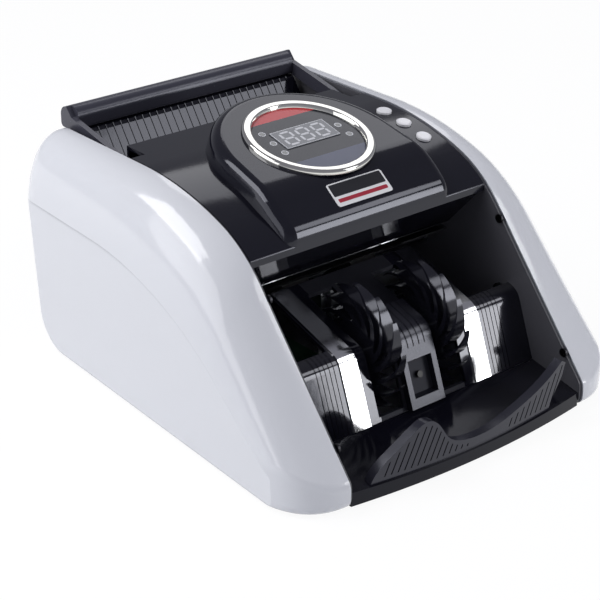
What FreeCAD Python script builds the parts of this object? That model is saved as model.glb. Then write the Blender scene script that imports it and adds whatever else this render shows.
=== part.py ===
import FreeCAD, Part
import math
import os
import re
import Sketcher

# A desktop banknote counter. X runs across the machine, Y to its rear and Z up.
# The origin is the middle of the underside, and every length is in millimetres.

Vec = FreeCAD.Vector
LEFT, RIGHT = -1, 1
SIDES = {"left": LEFT, "right": RIGHT}

SIZES = dict(
    # Outline of the side covers, which the panel and the plates beside it follow
    inner_width=200,
    cover_wall=2.5,
    cover_fullness=2.4,
    cover_rear=155,
    cover_bottom=1.5,
    crown_height=158.8,
    crown_start=52,
    crown_radius=230,
    crown_turn=20,
    brow_radius=90,
    nose_front=150,
    nose_height=17.8,
    nose_radius=10,
    nose_foot=7,
    rear_top_radius=17,
    rear_foot_radius=25,
    # Flat flank of a side cover, tilted so that the cover is deepest low down at its front
    flank_depth=31,
    flank_taper=0.055,
    flank_lean=-0.05,
    flank_top=90.8,
    flank_start=75,
    flank_radius=236,
    flank_slope=35,
    flank_nose=55,
    flank_rear=3,
    flank_foot=0.5,
    step_share=0.72,
    step_depth=1.6,
    step_slant=0.02,
    # Liners and frame
    cheek_wall=2,
    cheek_drop=1.5,
    frame_wall=1.5,
    frame_drop=3.5,
    fit_gap=0.05,
    seat_gap=0.3,
    rod_radius=3,
    upper_rod_back=10,
    upper_rod_drop=29.8,
    lower_rod_back=-22,
    lower_rod_height=24,
    rear_rod_back=132,
    rear_rod_height=62,
    retard_rod_height=120,
    bearing_radius=7,
    bearing_width=5,
    shaft_radius=4,
    # Base
    foot_height=2,
    foot_radius=8,
    pan_wall=1.5,
    pan_flange=14,
    pan_front=104,
    pan_rear=148,
    # Note tray and fence
    tray_front=155,
    tray_bulge=7.5,
    tray_back=106,
    tray_back_height=19.3,
    tray_lip_top=9.5,
    tray_underside=1.5,
    tray_wall=2.5,
    fence_inset=1.5,
    fence_depth=6.5,
    fence_peak=41,
    groove_width=0.9,
    groove_depth=0.8,
    groove_lean=24,
    groove_pitch=5,
    groove_margin=3,
    groove_out=76,
    groove_notch_left=10,
    groove_notch_right=26,
    fence_end=84,
    fence_foot=8,
    # Control panel and its dome
    panel_drop=0.8,
    panel_wall=2.5,
    panel_rear=89.4,
    panel_lip=4.5,
    panel_lip_turn=20.5,
    lip_round=1.2,
    apron_gap=5.6,
    dome_half=66.4,
    dome_draft=0.3,
    dome_waist=-20,
    dome_draw=75,
    dome_draw_turn=40,
    dome_tilt=13.3,
    dome_rise=6.5,
    dome_flat=28,
    dome_bend=45,
    dome_front_slope=36.5,
    dome_nose=14,
    dome_edge=8,
    ring_back=9.9,
    ring_radius=44,
    ring_bore=38.3,
    ring_height=3,
    ring_skirt=7,
    skirt_wall=1.6,
    face_level=0.6,
    face_wall=2,
    window_long=44,
    window_wide=20,
    window_off=4,
    window_proud=0.6,
    lamp_radius=1.7,
    lamp_left=26,
    lamp_right=28,
    lamp_pitch=12,
    board_wall=1.6,
    button_radius=5.2,
    button_margin=12,
    button_turn=4.8,
    button_step=5.05,
    button_proud=1.8,
    button_depth=6,
    button_stem=2.2,
    button_round=1,
    button_travel=1.2,
    switch_cube=6,
    key_post=2,
    knob_back=79,
    knob_radius=10,
    knob_tall=5.5,
    knob_stem=3,
    knob_ridges=16,
    knob_ridge=1.2,
    bite_half=33,
    bite_tall=7.5,
    # Carry handle
    handle_margin=6,
    handle_deep=15.5,
    handle_tall=15.2,
    handle_back=153.8,
    handle_round=7,
    handle_foot_round=3,
    handle_pivot_back=78,
    handle_pivot_drop=11.8,
    handle_arm=4,
    handle_arm_tall=9,
    handle_pin=2.5,
    # Hopper and rear
    rear_wall=2.5,
    rear_face=152.5,
    bed_edge=137.5,
    bed_toe_back=100,
    bed_toe_height=102,
    bed_wall=2.5,
    bed_bend=3,
    bed_rib=0.5,
    rib_pitch=6,
    # Paper path
    feed_back=92,
    feed_height=82,
    feed_radius=18,
    pickup_back=125.2,
    pickup_height=115.9,
    pickup_radius=14,
    transport_back=5,
    transport_height=72.4,
    transport_radius=18,
    pinch_radius=8,
    nip_gap=0.4,
    roller_width=22,
    roller_off=18,
    pickup_width=14,
    pickup_off=48,
    roller_gap=2,
    guide_wall=1.2,
    guide_gap=2,
    guide_slot=26,
    upper_guide_gap=12,
    lower_guide_gap=21,
    guide_tail=3,
    throat_wall=2,
    throat_back=1.5,
    retard_half=42,
    retard_deep=14,
    retard_tall=24,
    pad_wall=3.5,
    # Stacker
    wheel_back=-73,
    wheel_height=56,
    wheel_radius=42.8,
    wheel_width=10,
    wheel_off=27,
    wheel_hub=19,
    finger_count=13,
    finger_out=15,
    finger_back=8,
    finger_web=2,
    finger_shoulder=35,
    finger_point=1.5,
    deck_back=-23,
    deck_height=84,
    plate_knee_back=-89,
    plate_knee_height=63.5,
    plate_foot_back=-105.5,
    plate_wall=2.5,
    plate_bend=9,
    wing_edge=60.5,
    wheel_slot=10.5,
    strip_in=45.5,
    strip_out=59,
    strip_wall=1,
    block_half=14,
    block_wall=5,
    block_top_back=-66,
    slot_rear=-34,
    slot_foot=22,
    wing_rear=-80,
    wing_groove=0.6,
    wing_groove_depth=0.5,
    wing_groove_first=63,
    wing_groove_pitch=3.5,
    wing_grooves=5,
    block_groove=0.8,
    block_groove_depth=0.6,
    block_groove_pitch=4.7,
    block_groove_drop=6,
    block_rim=4,
    block_window_foot=27,
    block_window_tall=23,
    # Drive
    belt_wall=1.5,
    belt_width=5,
    belt_gap=0.3,
    belt_side=0.2,
    belt_clear=2.5,
    belt_step=6.5,
    flange_wall=0.8,
    flange_rise=1.5,
    drive_pulley=16,
    link_pulley=10,
    pickup_pulley=8,
    small_pulley=6.125,
    stacker_pulley=21,
    motor_pulley=8,
    motor_back=40,
    motor_height=37,
    motor_radius=24,
    motor_length=66,
    motor_margin=6,
    motor_shaft=3,
    encoder_radius=20,
    encoder_wall=0.8,
    encoder_slots=24,
    motor_cap=5,
    motor_nose=4,
    spindle_depth=29,
    disc_slot_long=4.5,
    disc_slot_wide=1.8,
    disc_rim=1.5,
    fork_wide=9,
    fork_deep=12,
    fork_tall=14,
    fork_gap=4,
    lens_radius=2.2,
    lens_length=2.5,
    lens_share=0.42,
    cell_long=10,
    cell_deep=8,
    cell_tall=6,
    cell_back=-8,
    left_cell=-70,
    right_cell=60,
    retard_arm_wide=16,
    retard_arm_tall=6,
    # Fastenings
    screw_radius=3,
    screw_head=1.6,
    recess_long=3.4,
    recess_wide=0.8,
    recess_depth=0.8,
    upper_screw_back=-69.7,
    upper_screw_drop=49.8,
    lower_screw_back=-133.3,
    lower_screw_height=35,
    screw_margin=14,
    screw_low=14,
    screw_high=130,
    # Electrical pieces
    inlet_off=52,
    inlet_height=34,
    socket_wide=28,
    socket_tall=21.6,
    socket_deep=24,
    socket_flange_wide=34,
    socket_flange_tall=26,
    socket_flange=2,
    recess_wall=2.5,
    recess_floor=8,
    pin_pitch=7,
    pin_long=14,
    switch_off=14,
    switch_wide=15,
    switch_deep=18,
    switch_flange_wide=19,
    switch_flange=1.5,
    switch_rim=1.5,
    switch_floor=6,
    rocker_axle=1.5,
    rocker_back=4,
    rocker_tall=8.2,
    rocker_nose=2.8,
    rocker_tilt=12,
    vent_count=7,
    vent_pitch=9,
    vent_wide=4,
    vent_tall=40,
    vent_height=70,
    vent_off=-60,
    core_wide=46,
    core_deep=40,
    core_tall=38,
    core_margin=35,
    core_back=94,
    coil_over=8,
    coil_deep=28,
    coil_tall=22,
    board_wide=90,
    board_deep=80,
    board_rise=8,
    board_margin=8,
    standoff_radius=3,
    standoff_margin=4,
)

doc = FreeCAD.newDocument("note_counter")
sheet = doc.addObject("Spreadsheet::Sheet", "Sizes")
for row, (alias, number) in enumerate(SIZES.items(), 1):
    sheet.set(f"A{row}", alias.replace("_", " "))
    sheet.set(f"B{row}", str(number))
    sheet.setAlias(f"B{row}", alias)
doc.recompute()
kept = []

# Places that several pieces share, as expressions of the named sizes
COVER_FACE = "(inner_width / 2)"
CHEEK_FACE = "(inner_width / 2 - cheek_wall)"
FRAME_FACE = "(inner_width / 2 + frame_wall)"
PAN_FLOOR = "(foot_height + pan_wall)"
PINCH_HEIGHT = "(transport_height + transport_radius + nip_gap + pinch_radius)"
NIP_HEIGHT = "(feed_height + feed_radius + nip_gap)"
BELT_PLANE = f"({FRAME_FACE} + belt_clear)"
BELT_OUTER = f"({BELT_PLANE} + belt_step)"
MOTOR_END = f"({CHEEK_FACE} - motor_margin)"
CORE_OFF = f"(core_margin - {CHEEK_FACE})"
BOARD_EDGE = f"(board_margin - {CHEEK_FACE})"
BUTTON_OFF = f"({CHEEK_FACE} - button_margin)"
DOME_HEIGHT = "(crown_height + dome_rise)"
BED_TOP = "(crown_height - frame_drop)"
HANDLE_FOOT = f"({BED_TOP} + seat_gap)"
HANDLE_HALF = f"({CHEEK_FACE} - handle_margin)"
RETARD_TOP = f"({NIP_HEIGHT} + pad_wall + retard_tall)"
HANDLE_PIVOT = "(crown_height - handle_pivot_drop)"
SKIRT = "(ring_radius - skirt_wall - 2)"
LEDGE = "(face_level - face_wall)"
BED_HALF = f"({HANDLE_HALF} - 2 * seat_gap)"
PULLEY_WIDTH = "(belt_width + 2 * flange_wall)"
SHAFTS = {
    "feed": ("feed_back", "feed_height"),
    "pickup": ("pickup_back", "pickup_height"),
    "transport": ("transport_back", "transport_height"),
    "pinch": ("transport_back", PINCH_HEIGHT),
    "stacker": ("wheel_back", "wheel_height"),
}
TIE_RODS = [
    ("feed_back", "retard_rod_height"), ("upper_rod_back", "crown_height - upper_rod_drop"),
    ("lower_rod_back", "lower_rod_height"), ("rear_rod_back", "rear_rod_height"),
]
CHEEK_SCREWS = [
    ("upper_screw_back", "(crown_height - upper_screw_drop)"), ("lower_screw_back", "lower_screw_height"),
]


def linked(text):
    """An expression of named sizes, with each name pointing at its cell."""
    return re.sub(r"[a-z_]+", lambda word: "Sizes." + word[0] if word[0] in SIZES else word[0], text)


def num(text):
    """The number that an expression of named sizes comes to."""
    return float(sheet.evalExpression(linked(text)))


def keep(piece, label):
    """Name a finished sub-part and put it on the list that is written out."""
    piece.Label = label
    kept.append(piece)
    return piece


def bind(piece, **sizes):
    """Bind properties of a piece to expressions of the named sizes."""
    for name, text in sizes.items():
        piece.setExpression(name, linked(text))
    return piece


def put(piece, x, y, z):
    """Bind the place of a piece."""
    for axis, text in zip("xyz", (x, y, z)):
        piece.setExpression(f"Placement.Base.{axis}", linked(text))
    return piece


# Primitives and booleans

def box(name, x, y, z, wide, deep, tall):
    """A block from its lowest corner."""
    piece = bind(doc.addObject("Part::Box", name), Length=wide, Width=deep, Height=tall)
    return put(piece, x, y, z)


def middle_box(name, x, y, z, wide, deep, tall):
    """A block centred on x, from its lowest corner in y and z."""
    return box(name, f"{x} - ({wide}) / 2", y, z, wide, deep, tall)


def rod(name, x, y, z, radius, length):
    """A cylinder along X, from its left end."""
    piece = bind(doc.addObject("Part::Cylinder", name), Radius=radius, Height=length)
    piece.Placement.Rotation = FreeCAD.Rotation(Vec(0, 1, 0), 90)
    return put(piece, x, y, z)


def post(name, x, y, z, radius, length):
    """An upright cylinder, from its foot."""
    piece = bind(doc.addObject("Part::Cylinder", name), Radius=radius, Height=length)
    return put(piece, x, y, z)


def peg(name, x, y, z, radius, length):
    """A cylinder along Y, from its front end."""
    piece = bind(doc.addObject("Part::Cylinder", name), Radius=radius, Height=length)
    piece.Placement.Rotation = FreeCAD.Rotation(Vec(1, 0, 0), -90)
    return put(piece, x, y, z)


def fused(name, pieces):
    """Several pieces joined in one solid."""
    piece = doc.addObject("Part::MultiFuse", name)
    piece.Shapes = pieces
    return piece


def cut(name, base, tools):
    """A piece with others taken away."""
    piece = doc.addObject("Part::Cut", name)
    piece.Base = base
    piece.Tool = tools[0] if len(tools) == 1 else fused(name + "_tools", tools)
    return piece


def group(pieces, label):
    """Separate solids that share one node."""
    piece = doc.addObject("Part::Compound", label)
    piece.Links = pieces
    return keep(piece, label)


def stepped(name, x, y, z, steps, bore):
    """A turned piece along X: steps of length and radius, with a bore."""
    rods = []
    start = x
    for index, (length, radius) in enumerate(steps):
        rods.append(rod(f"{name}_{index}", start, y, z, radius, length))
        start = f"{start} + {length}"
    body = rods[0] if len(rods) == 1 else fused(name + "_body", rods)
    whole = "0" + "".join(f" + {length}" for length, _ in steps)
    hole = rod(name + "_bore", f"{x} - 1", y, z, bore, f"{whole} + 2")
    return cut(name, body, [hole])


def set_shape(label, shape):
    """A sub-part whose form is worked out from the named sizes by geometry functions."""
    piece = doc.addObject("Part::Feature", label)
    piece.Shape = shape.removeSplitter()
    return keep(piece, label)


# Sketches and bodies

def sketch_on(body, role, name):
    """A sketch on one of the body's own origin planes."""
    sketch = body.newObject("Sketcher::SketchObject", name)
    plane = next(item for item in body.Origin.OriginFeatures if item.Role == role)
    sketch.AttachmentSupport = [(plane, "")]
    sketch.MapMode = "FlatFace"
    return sketch


def hold(sketch, kind, *ends, size):
    """A dimension of a sketch, bound to an expression."""
    index = sketch.addConstraint(Sketcher.Constraint(kind, *ends, num(size)))
    sketch.setExpression(f"Constraints[{index}]", linked(size))


def pin(sketch, item, end, across, up):
    """Hold a point of a sketch at a place measured from its origin."""
    hold(sketch, "DistanceX", -1, 1, item, end, size=across)
    hold(sketch, "DistanceY", -1, 1, item, end, size=up)


def add_polygon(sketch, corners):
    """A closed outline of straight lines through bound corners."""
    first = sketch.GeometryCount
    points = [Vec(num(across), num(up), 0) for across, up in corners]
    for start, end in zip(points, points[1:] + points[:1]):
        sketch.addGeometry(Part.LineSegment(start, end))
    for index in range(len(points)):
        following = first + (index + 1) % len(points)
        sketch.addConstraint(Sketcher.Constraint("Coincident", first + index, 2, following, 1))
    for index, (across, up) in enumerate(corners):
        pin(sketch, first + index, 1, across, up)


def add_circle(sketch, across, up, radius):
    """A circle held by its centre and radius."""
    centre = Vec(num(across), num(up), 0)
    item = sketch.addGeometry(Part.Circle(centre, Vec(0, 0, 1), num(radius)))
    pin(sketch, item, 3, across, up)
    hold(sketch, "Radius", item, size=radius)


def pad(body, sketch, length, middle=False, back=False):
    """Thicken a sketch."""
    feature = body.newObject("PartDesign::Pad", sketch.Name + "_pad")
    feature.Profile = sketch
    feature.Midplane = middle
    feature.Reversed = back
    bind(feature, Length=length)
    sketch.Visibility = False
    return feature


def slab(name, role, corners, length, circles=(), middle=False, back=False):
    """A body of one outline, with round holes, thickened square to its plane."""
    body = doc.addObject("PartDesign::Body", name)
    sketch = sketch_on(body, role, name + "_outline")
    add_polygon(sketch, corners)
    for across, up, radius in circles:
        add_circle(sketch, across, up, radius)
    pad(body, sketch, length, middle, back)
    return body


# Outlines in planes square to X

def arc(x, centre, radius, start, end):
    """An arc about a (y, z) centre, between two angles in degrees."""
    points = []
    for turn in (start, (start + end) / 2, end):
        angle = math.radians(turn)
        points.append(Vec(x, centre[0] + radius * math.cos(angle), centre[1] + radius * math.sin(angle)))
    return Part.Arc(*points).toShape()


def corner(before, point, after, radius):
    """The arc that rounds a corner between two straight lines."""
    back = (before - point).normalize()
    onward = (after - point).normalize()
    half = back.getAngle(onward) / 2
    reach = radius / math.tan(half)
    centre = point + (back + onward).normalize() * (radius / math.sin(half))
    crest = centre + (point - centre).normalize() * radius
    return Part.Arc(point + back * reach, crest, point + onward * reach).toShape()


def joined(items):
    """A closed wire through arcs and corner points, with straight lines between them."""
    ends = []
    for item in items:
        if isinstance(item, Vec):
            ends.append((item, item, None))
        else:
            ends.append((item.valueAt(item.FirstParameter), item.valueAt(item.LastParameter), item))
    edges = []
    for index, (_, last, edge) in enumerate(ends):
        if edge:
            edges.append(edge)
        following = ends[(index + 1) % len(ends)][0]
        if last.distanceToPoint(following) > 1e-6:
            edges.append(Part.makeLine(last, following))
    return Part.Wire(edges)


def rounded(points, radii):
    """A closed wire through corner points, each rounded by its radius, or sharp where it is nought."""
    items = []
    for index, (point, radius) in enumerate(zip(points, radii)):
        after = points[(index + 1) % len(points)]
        items.append(corner(points[index - 1], point, after, radius) if radius else point)
    return joined(items)


def bent_sheet(points, wall, bend):
    """A closed wire round a bent sheet: a path thickened to its left, with rounded bends."""
    normals = []
    for first, second in zip(points, points[1:]):
        run = (second - first).normalize()
        normals.append(Vec(0, -run.z, run.y))
    near = [points[0]]
    far = [points[0] + normals[0] * wall]
    near_radii = [0]
    far_radii = [0]
    for point, before, after in zip(points[1:-1], normals, normals[1:]):
        near.append(point)
        far.append(point + (before + after) * (wall / (1 + before.dot(after))))
        leftward = before.cross(after).x > 0
        near_radii.append(bend + wall if leftward else bend)
        far_radii.append(bend if leftward else bend + wall)
    near.append(points[-1])
    far.append(points[-1] + normals[-1] * wall)
    near_radii.append(0)
    far_radii.append(0)
    return rounded(near + far[::-1], near_radii + far_radii[::-1])


def across(wire, length):
    """A solid: a wire square to X, drawn out along X."""
    return Part.Face(wire).extrude(Vec(length, 0, 0))


def block(x, y, z, wide, deep, tall):
    """A plain cutting block from its lowest corner."""
    return Part.makeBox(wide, deep, tall, Vec(x, y, z))


def bar(x, y, z, radius, length):
    """A plain cutting cylinder along X."""
    return Part.makeCylinder(radius, length, Vec(x, y, z), Vec(1, 0, 0))


def blend(first, second, share):
    """A size part of the way between two others."""
    return num(first) + share * (num(second) - num(first))


def crown_arcs(x, inset, lip_turn, share=0):
    """The two arcs of the crown, over to the front, drawn in by an inset or part of the way to the flank."""
    radius = blend("crown_radius", "flank_radius", share)
    brow = blend("brow_radius", "flank_radius", share)
    turn = num("crown_turn")
    top = blend("crown_height", "flank_top", share)
    centre = (blend("crown_start", "flank_start", share), top - radius)
    angle = math.radians(90 + turn)
    step = radius - brow
    brow_centre = (centre[0] + step * math.cos(angle), centre[1] + step * math.sin(angle))
    return [
        arc(x, centre, radius - inset, 90, 90 + turn),
        arc(x, brow_centre, brow - inset, 90 + turn, 90 + turn + lip_turn),
    ]


def front_slope(share):
    """The slope of a cover's straight front, which leaves the top of the nose and just touches the brow."""
    brow = crown_arcs(0, 0, num("crown_turn"))[1].Curve
    run = brow.Center - Vec(0, -num("nose_front"), num("nose_height"))
    steep = math.degrees(math.atan2(run.z, run.y) + math.asin(brow.Radius / run.Length))
    return steep + share * (num("flank_slope") - steep)


def cover_outline(x, inset, share=0):
    """The closed outline of a side cover, drawn in by an inset or a share of the way to the flank."""
    slope = front_slope(share)
    arcs = crown_arcs(x, inset, slope - num("crown_turn"), share)
    brow_end = arcs[-1].valueAt(arcs[-1].LastParameter)
    crown_end = arcs[0].valueAt(arcs[0].FirstParameter)
    rear = num("cover_rear") - inset - share * num("flank_rear")
    foot = num("cover_bottom") + inset + share * num("flank_foot")
    nose = inset - blend("nose_front", "nose_front - flank_nose", share)
    softer = 1 - share / 2
    nose_top = Vec(x, nose, brow_end.z - (brow_end.y - nose) * math.tan(math.radians(slope)))
    nose_foot = Vec(x, nose, foot)
    rear_foot = Vec(x, rear, foot)
    rear_top = Vec(x, rear, crown_end.z)
    return joined(arcs + [
        corner(brow_end, nose_top, nose_foot, (num("nose_radius") - inset) * softer),
        corner(nose_top, nose_foot, rear_foot, (num("nose_foot") - inset) * softer),
        corner(nose_foot, rear_foot, rear_top, num("rear_foot_radius") - inset),
        corner(rear_foot, rear_top, crown_end, num("rear_top_radius") - inset),
    ])


def on_flank(shape, side, reach, sunk):
    """Lay a flat outline on a plane that leans out to the flank, by part of its depth less a sunk depth."""
    lay = FreeCAD.Matrix()
    lay.A12 = -side * reach * num("flank_taper")
    lay.A13 = -side * reach * num("flank_lean")
    lay.A14 = side * (num(COVER_FACE) + reach * (num("flank_depth") - sunk))
    return shape.transformGeometry(lay)


def fullness(share):
    """How much of the flank's depth a cover has reached where its outline is a share of the way there."""
    power = num("cover_fullness")
    return (1 - (1 - share) ** power) ** (1 / power)


def cover_solid(side, inset, sunk):
    """A side cover's full body, or the hollow in it, lofted from the inner outline over to the flank."""
    sections = []
    for step in range(7):
        share = 1 - max(math.cos(math.radians(15 * step)), 0) ** (2 / num("cover_fullness"))
        sections.append(on_flank(cover_outline(0, inset, share), side, fullness(share), sunk))
    return Part.makeLoft(sections, True, False)


def step_sink():
    """How far the flat field of a cover lies below the plane of its flank."""
    share = num("step_share")
    return (1 - fullness(share)) * num("flank_depth") + num("step_depth")


def field_outline(side, share, sunk):
    """The outline of a cover's flat field, open to the rear and the foot, on a plane sunk below the flank."""
    slope = front_slope(share)
    arcs = crown_arcs(0, 0, slope - num("crown_turn"), share)
    start = arcs[0].valueAt(arcs[0].FirstParameter)
    end = arcs[1].valueAt(arcs[1].LastParameter)
    rear = 2 * num("cover_rear")
    front = Vec(0, end.y - 2 * end.z / math.tan(math.radians(slope)), -end.z)
    outline = joined(arcs + [front, Vec(0, rear, -end.z), Vec(0, rear, start.z)])
    return on_flank(outline, side, 1, sunk)


def flank_field(side):
    """What is cut from a cover for the step round its flat field, with a slanting wall."""
    share = num("step_share")
    sunk = step_sink()
    far = num("flank_depth / step_depth")
    rim = field_outline(side, share - far * num("step_slant"), sunk - num("flank_depth"))
    return Part.makeLoft([field_outline(side, share, sunk), rim], True, True)


def side_covers():
    """The two white side covers: hollow shells with a full soft edge and a flat flank, open to the frame."""
    for name, side in SIDES.items():
        wall = num("cover_wall")
        hollow = cover_solid(side, wall, wall + step_sink())
        shell = cover_solid(side, 0, 0).cut(flank_field(side)).cut(hollow)
        set_shape(f"{name}_side_cover", shell)


def holed(plate, x, length, holes):
    """A plate with round holes along X."""
    return plate.cut(Part.makeCompound([bar(x, y, z, radius, length) for y, z, radius in holes]))


def shaft_holes(radius):
    """A hole at each shaft."""
    return [(num(y), num(z), radius) for y, z in SHAFTS.values()]


def cheeks_and_frame():
    """Black inner liners, and the steel frame plates that lie against them inside the covers."""
    cheek = num("cheek_wall")
    frame = num("frame_wall")
    bearing = num("bearing_radius + fit_gap")
    motor_hole = (num("motor_back"), num("motor_height"), num("motor_shaft + 2"))
    pivot = (num("handle_pivot_back"), num(HANDLE_PIVOT), num("handle_pin + fit_gap"))
    for name, side in SIDES.items():
        face = num(COVER_FACE)
        start = face - cheek if side == RIGHT else -face
        plate = across(cover_outline(start, num("cheek_drop")), cheek)
        holes = shaft_holes(bearing) + [motor_hole, pivot]
        set_shape(f"{name}_cheek", holed(plate, start, cheek, holes))
        start = face if side == RIGHT else -face - frame
        plate = across(cover_outline(start, num("frame_drop")), frame)
        holes = shaft_holes(bearing) + [motor_hole]
        set_shape(f"{name}_frame_plate", holed(plate, start, frame, holes))


def tie_rods():
    """Steel rods that hold the two sides apart."""
    rods = []
    for index, (y, z) in enumerate(TIE_RODS):
        rods.append(rod(f"tie_rod_{index}", f"-{CHEEK_FACE}", y, z, "rod_radius", f"2 * {CHEEK_FACE}"))
    group(rods, "tie_rods")


def shaft_bearings():
    """A bearing for each end of each shaft, in the frame plates."""
    rings = []
    for name, (y, z) in SHAFTS.items():
        for side_name, start in (("left", f"-{CHEEK_FACE} - bearing_width"), ("right", CHEEK_FACE)):
            ring = stepped(f"{name}_{side_name}_bearing", start, y, z,
                           [("bearing_width", "bearing_radius")], "shaft_radius + fit_gap")
            rings.append(ring)
    group(rings, "shaft_bearings")


def base():
    """The base pan with its side flanges, and the rubber feet below it."""
    half = f"({CHEEK_FACE} - seat_gap)"
    inner = f"({half} - pan_wall)"
    rim = f"({PAN_FLOOR} + pan_flange)"
    corners = [
        (f"-{half}", "foot_height"), (half, "foot_height"), (half, rim), (inner, rim),
        (inner, PAN_FLOOR), (f"-{inner}", PAN_FLOOR), (f"-{inner}", rim), (f"-{half}", rim),
    ]
    pan = slab("base_pan", "XZ_Plane", corners, "pan_front + pan_rear")
    put(pan, "0", "pan_rear", "0")
    keep(pan, "base_pan")
    feet = []
    for across_sign in (-1, 1):
        for name, y in (("front", "-(pan_front - 2 * foot_radius)"), ("rear", "pan_rear - 2 * foot_radius")):
            foot = doc.addObject("Part::Cone", f"{name}_foot_{across_sign + 1}")
            bind(foot, Radius1="foot_radius - 1", Radius2="foot_radius", Height="foot_height")
            feet.append(put(foot, f"{across_sign} * ({CHEEK_FACE} - 2 * foot_radius)", y, "0"))
    group(feet, "rubber_feet")


def bulge(inset):
    """An upright cylinder whose front follows the bowed front of the tray."""
    half = num(CHEEK_FACE)
    rise = num("tray_bulge")
    radius = (half ** 2 + rise ** 2) / (2 * rise)
    middle = Vec(0, radius - num("tray_front"), -1)
    return Part.makeCylinder(radius - inset, num("crown_height"), middle)


def tray_wedge(inset):
    """The tray's sloping body between the cheeks, drawn in by an inset."""
    half = num(CHEEK_FACE) - num("seat_gap")
    low = num("tray_underside") - (1 if inset else 0)
    points = [
        Vec(-half, -num("tray_back"), low),
        Vec(-half, -num("tray_back"), num("tray_back_height") - inset),
        Vec(-half, -num("tray_front"), num("tray_lip_top") - inset),
        Vec(-half, -num("tray_front"), low),
    ]
    return across(rounded(points, [0, 0, 0, 0]), 2 * half).common(bulge(inset))


def note_tray():
    """The tray that counted notes stand on: a thin moulding with a sloping floor and a bowed lip."""
    set_shape("note_tray", tray_wedge(0).cut(tray_wedge(num("tray_wall"))))


def fence_face():
    """The fence seen from the front: two leaning fins, with a finger notch between them."""
    peak = num("fence_peak")
    end = num("fence_end")
    foot = num("fence_foot")
    left_fin = [(-end, foot), (5 - end, 17.5), (18 - end, 27.5), (-52, peak - 4.5), (-40, peak),
                (-33, peak - 4)]
    notch = [(-28, 30), (-24, 24.5), (-17, 20), (0, 17), (14, 17.6)]
    right_fin = [(36, 22.8), (62, 31.5), (end - 5, peak), (end - 1, peak - 2.5)]
    ends = [(end - 4, 30), (end - 13.5, 17), (end - 18, foot)]
    crest = Part.BSplineCurve()
    crest.interpolate([Vec(x, 0, z) for x, z in left_fin + notch + right_fin[:-1]])
    tip = [Vec(x, 0, z) for x, z in right_fin[-2:] + ends]
    edges = [crest.toShape()] + [Part.makeLine(a, b) for a, b in zip(tip, tip[1:])]
    edges.append(Part.makeLine(tip[-1], Vec(left_fin[0][0], 0, left_fin[0][1])))
    return Part.Face(Part.Wire(edges))


def fence_layer(drop, outer, inner):
    """The fence between two insets from the bowed front, lowered by a drop and as much above the tray."""
    wall = fence_face()
    wall.translate(Vec(0, -num("tray_front"), -drop))
    layer = wall.extrude(Vec(0, num("tray_bulge + fence_inset") + 2 * inner, 0))
    floor = tray_wedge(0)
    floor.translate(Vec(0, 0, drop))
    return layer.common(bulge(outer)).cut(bulge(inner)).cut(floor)


def fence_grooves():
    """Slanting grooves in the front skin of both fins, clear of their edges and the tray."""
    skin = num("fence_inset")
    foot = num("fence_foot")
    width = num("groove_width")
    plates = []
    out = num("groove_out")
    for start, end in ((-out, -num("groove_notch_left")), (num("groove_notch_right"), out)):
        for index in range(1 + int((end - start) / num("groove_pitch"))):
            x = start + index * num("groove_pitch")
            plate = block(x, -num("tray_front"), -foot, width, num("tray_front"), num("crown_height"))
            plate.rotate(Vec(x, 0, foot), Vec(0, 1, 0), num("groove_lean"))
            plates.append(plate)
    room = fence_layer(num("groove_margin"), skin, skin + num("groove_depth"))
    return room.common(Part.makeCompound(plates))


def note_fence():
    """The ribbed fence that stops the notes at the front of the tray."""
    inset = num("fence_inset")
    set_shape("note_fence", fence_layer(0, inset, inset + num("fence_depth")).cut(fence_grooves()))


def lip_end(x):
    """The front end of the panel's upper face, where its lip turns down."""
    brow = crown_arcs(x, num("panel_drop"), num("panel_lip_turn"))[1]
    return brow.valueAt(brow.LastParameter)


def panel_arcs(x):
    """The panel's upper face in section, with a small arc that rolls it over to the upright lip."""
    crown, brow = crown_arcs(x, num("panel_drop"), num("panel_lip_turn"))
    hub = brow.Curve.Center
    radius = num("lip_round")
    reach = brow.Curve.Radius - radius
    back = lip_end(x).y + radius
    turn = math.degrees(math.acos((back - hub.y) / reach))
    height = hub.z + reach * math.sin(math.radians(turn))
    return [
        crown,
        arc(x, (hub.y, hub.z), brow.Curve.Radius, 90 + num("crown_turn"), turn),
        arc(x, (back, height), radius, turn, 180),
    ]


def panel_section(x):
    """The control panel in section: a shell that follows the crown, with a front lip and rear apron."""
    wall = num("panel_wall")
    inner = crown_arcs(x, num("panel_drop") + wall, num("panel_lip_turn"))
    top = num("crown_height - panel_drop")
    rear = num("panel_rear")
    inner_end = inner[1].valueAt(inner[1].LastParameter)
    down = Vec(0, 0, -num("panel_lip"))
    foot = lip_end(x) + down
    lip_root = Vec(x, foot.y + wall, inner_end.z)
    points = [Vec(x, rear, top)] + panel_arcs(x) + [foot, foot + Vec(0, wall, 0), lip_root]
    shell = joined(points + [Vec(x, rear, num(f"{RETARD_TOP} + apron_gap"))])
    hollow = joined([
        Vec(x, rear - wall, top - wall), inner[0], inner[1],
        lip_root, lip_root + down * 4, Vec(x, rear - wall, 0),
    ])
    return shell, hollow


def dome_outline(z, half):
    """The dome in plan: a half round at the rear, and sides that draw in towards the front."""
    back = num("ring_back")
    waist = num("dome_waist")
    radius = num("dome_draw")
    turn = math.radians(num("dome_draw_turn"))
    rear = Part.Arc(Vec(half, back, z), Vec(0, back + half, z), Vec(-half, back, z)).toShape()
    sides = []
    for side, angles in ((LEFT, (0, turn / 2, turn)), (RIGHT, (turn, turn / 2, 0))):
        points = [Vec(side * (half - radius * (1 - math.cos(angle))), waist - radius * math.sin(angle), z)
                  for angle in angles]
        sides.append(Part.Arc(*points).toShape())
    return joined([rear] + sides)


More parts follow.
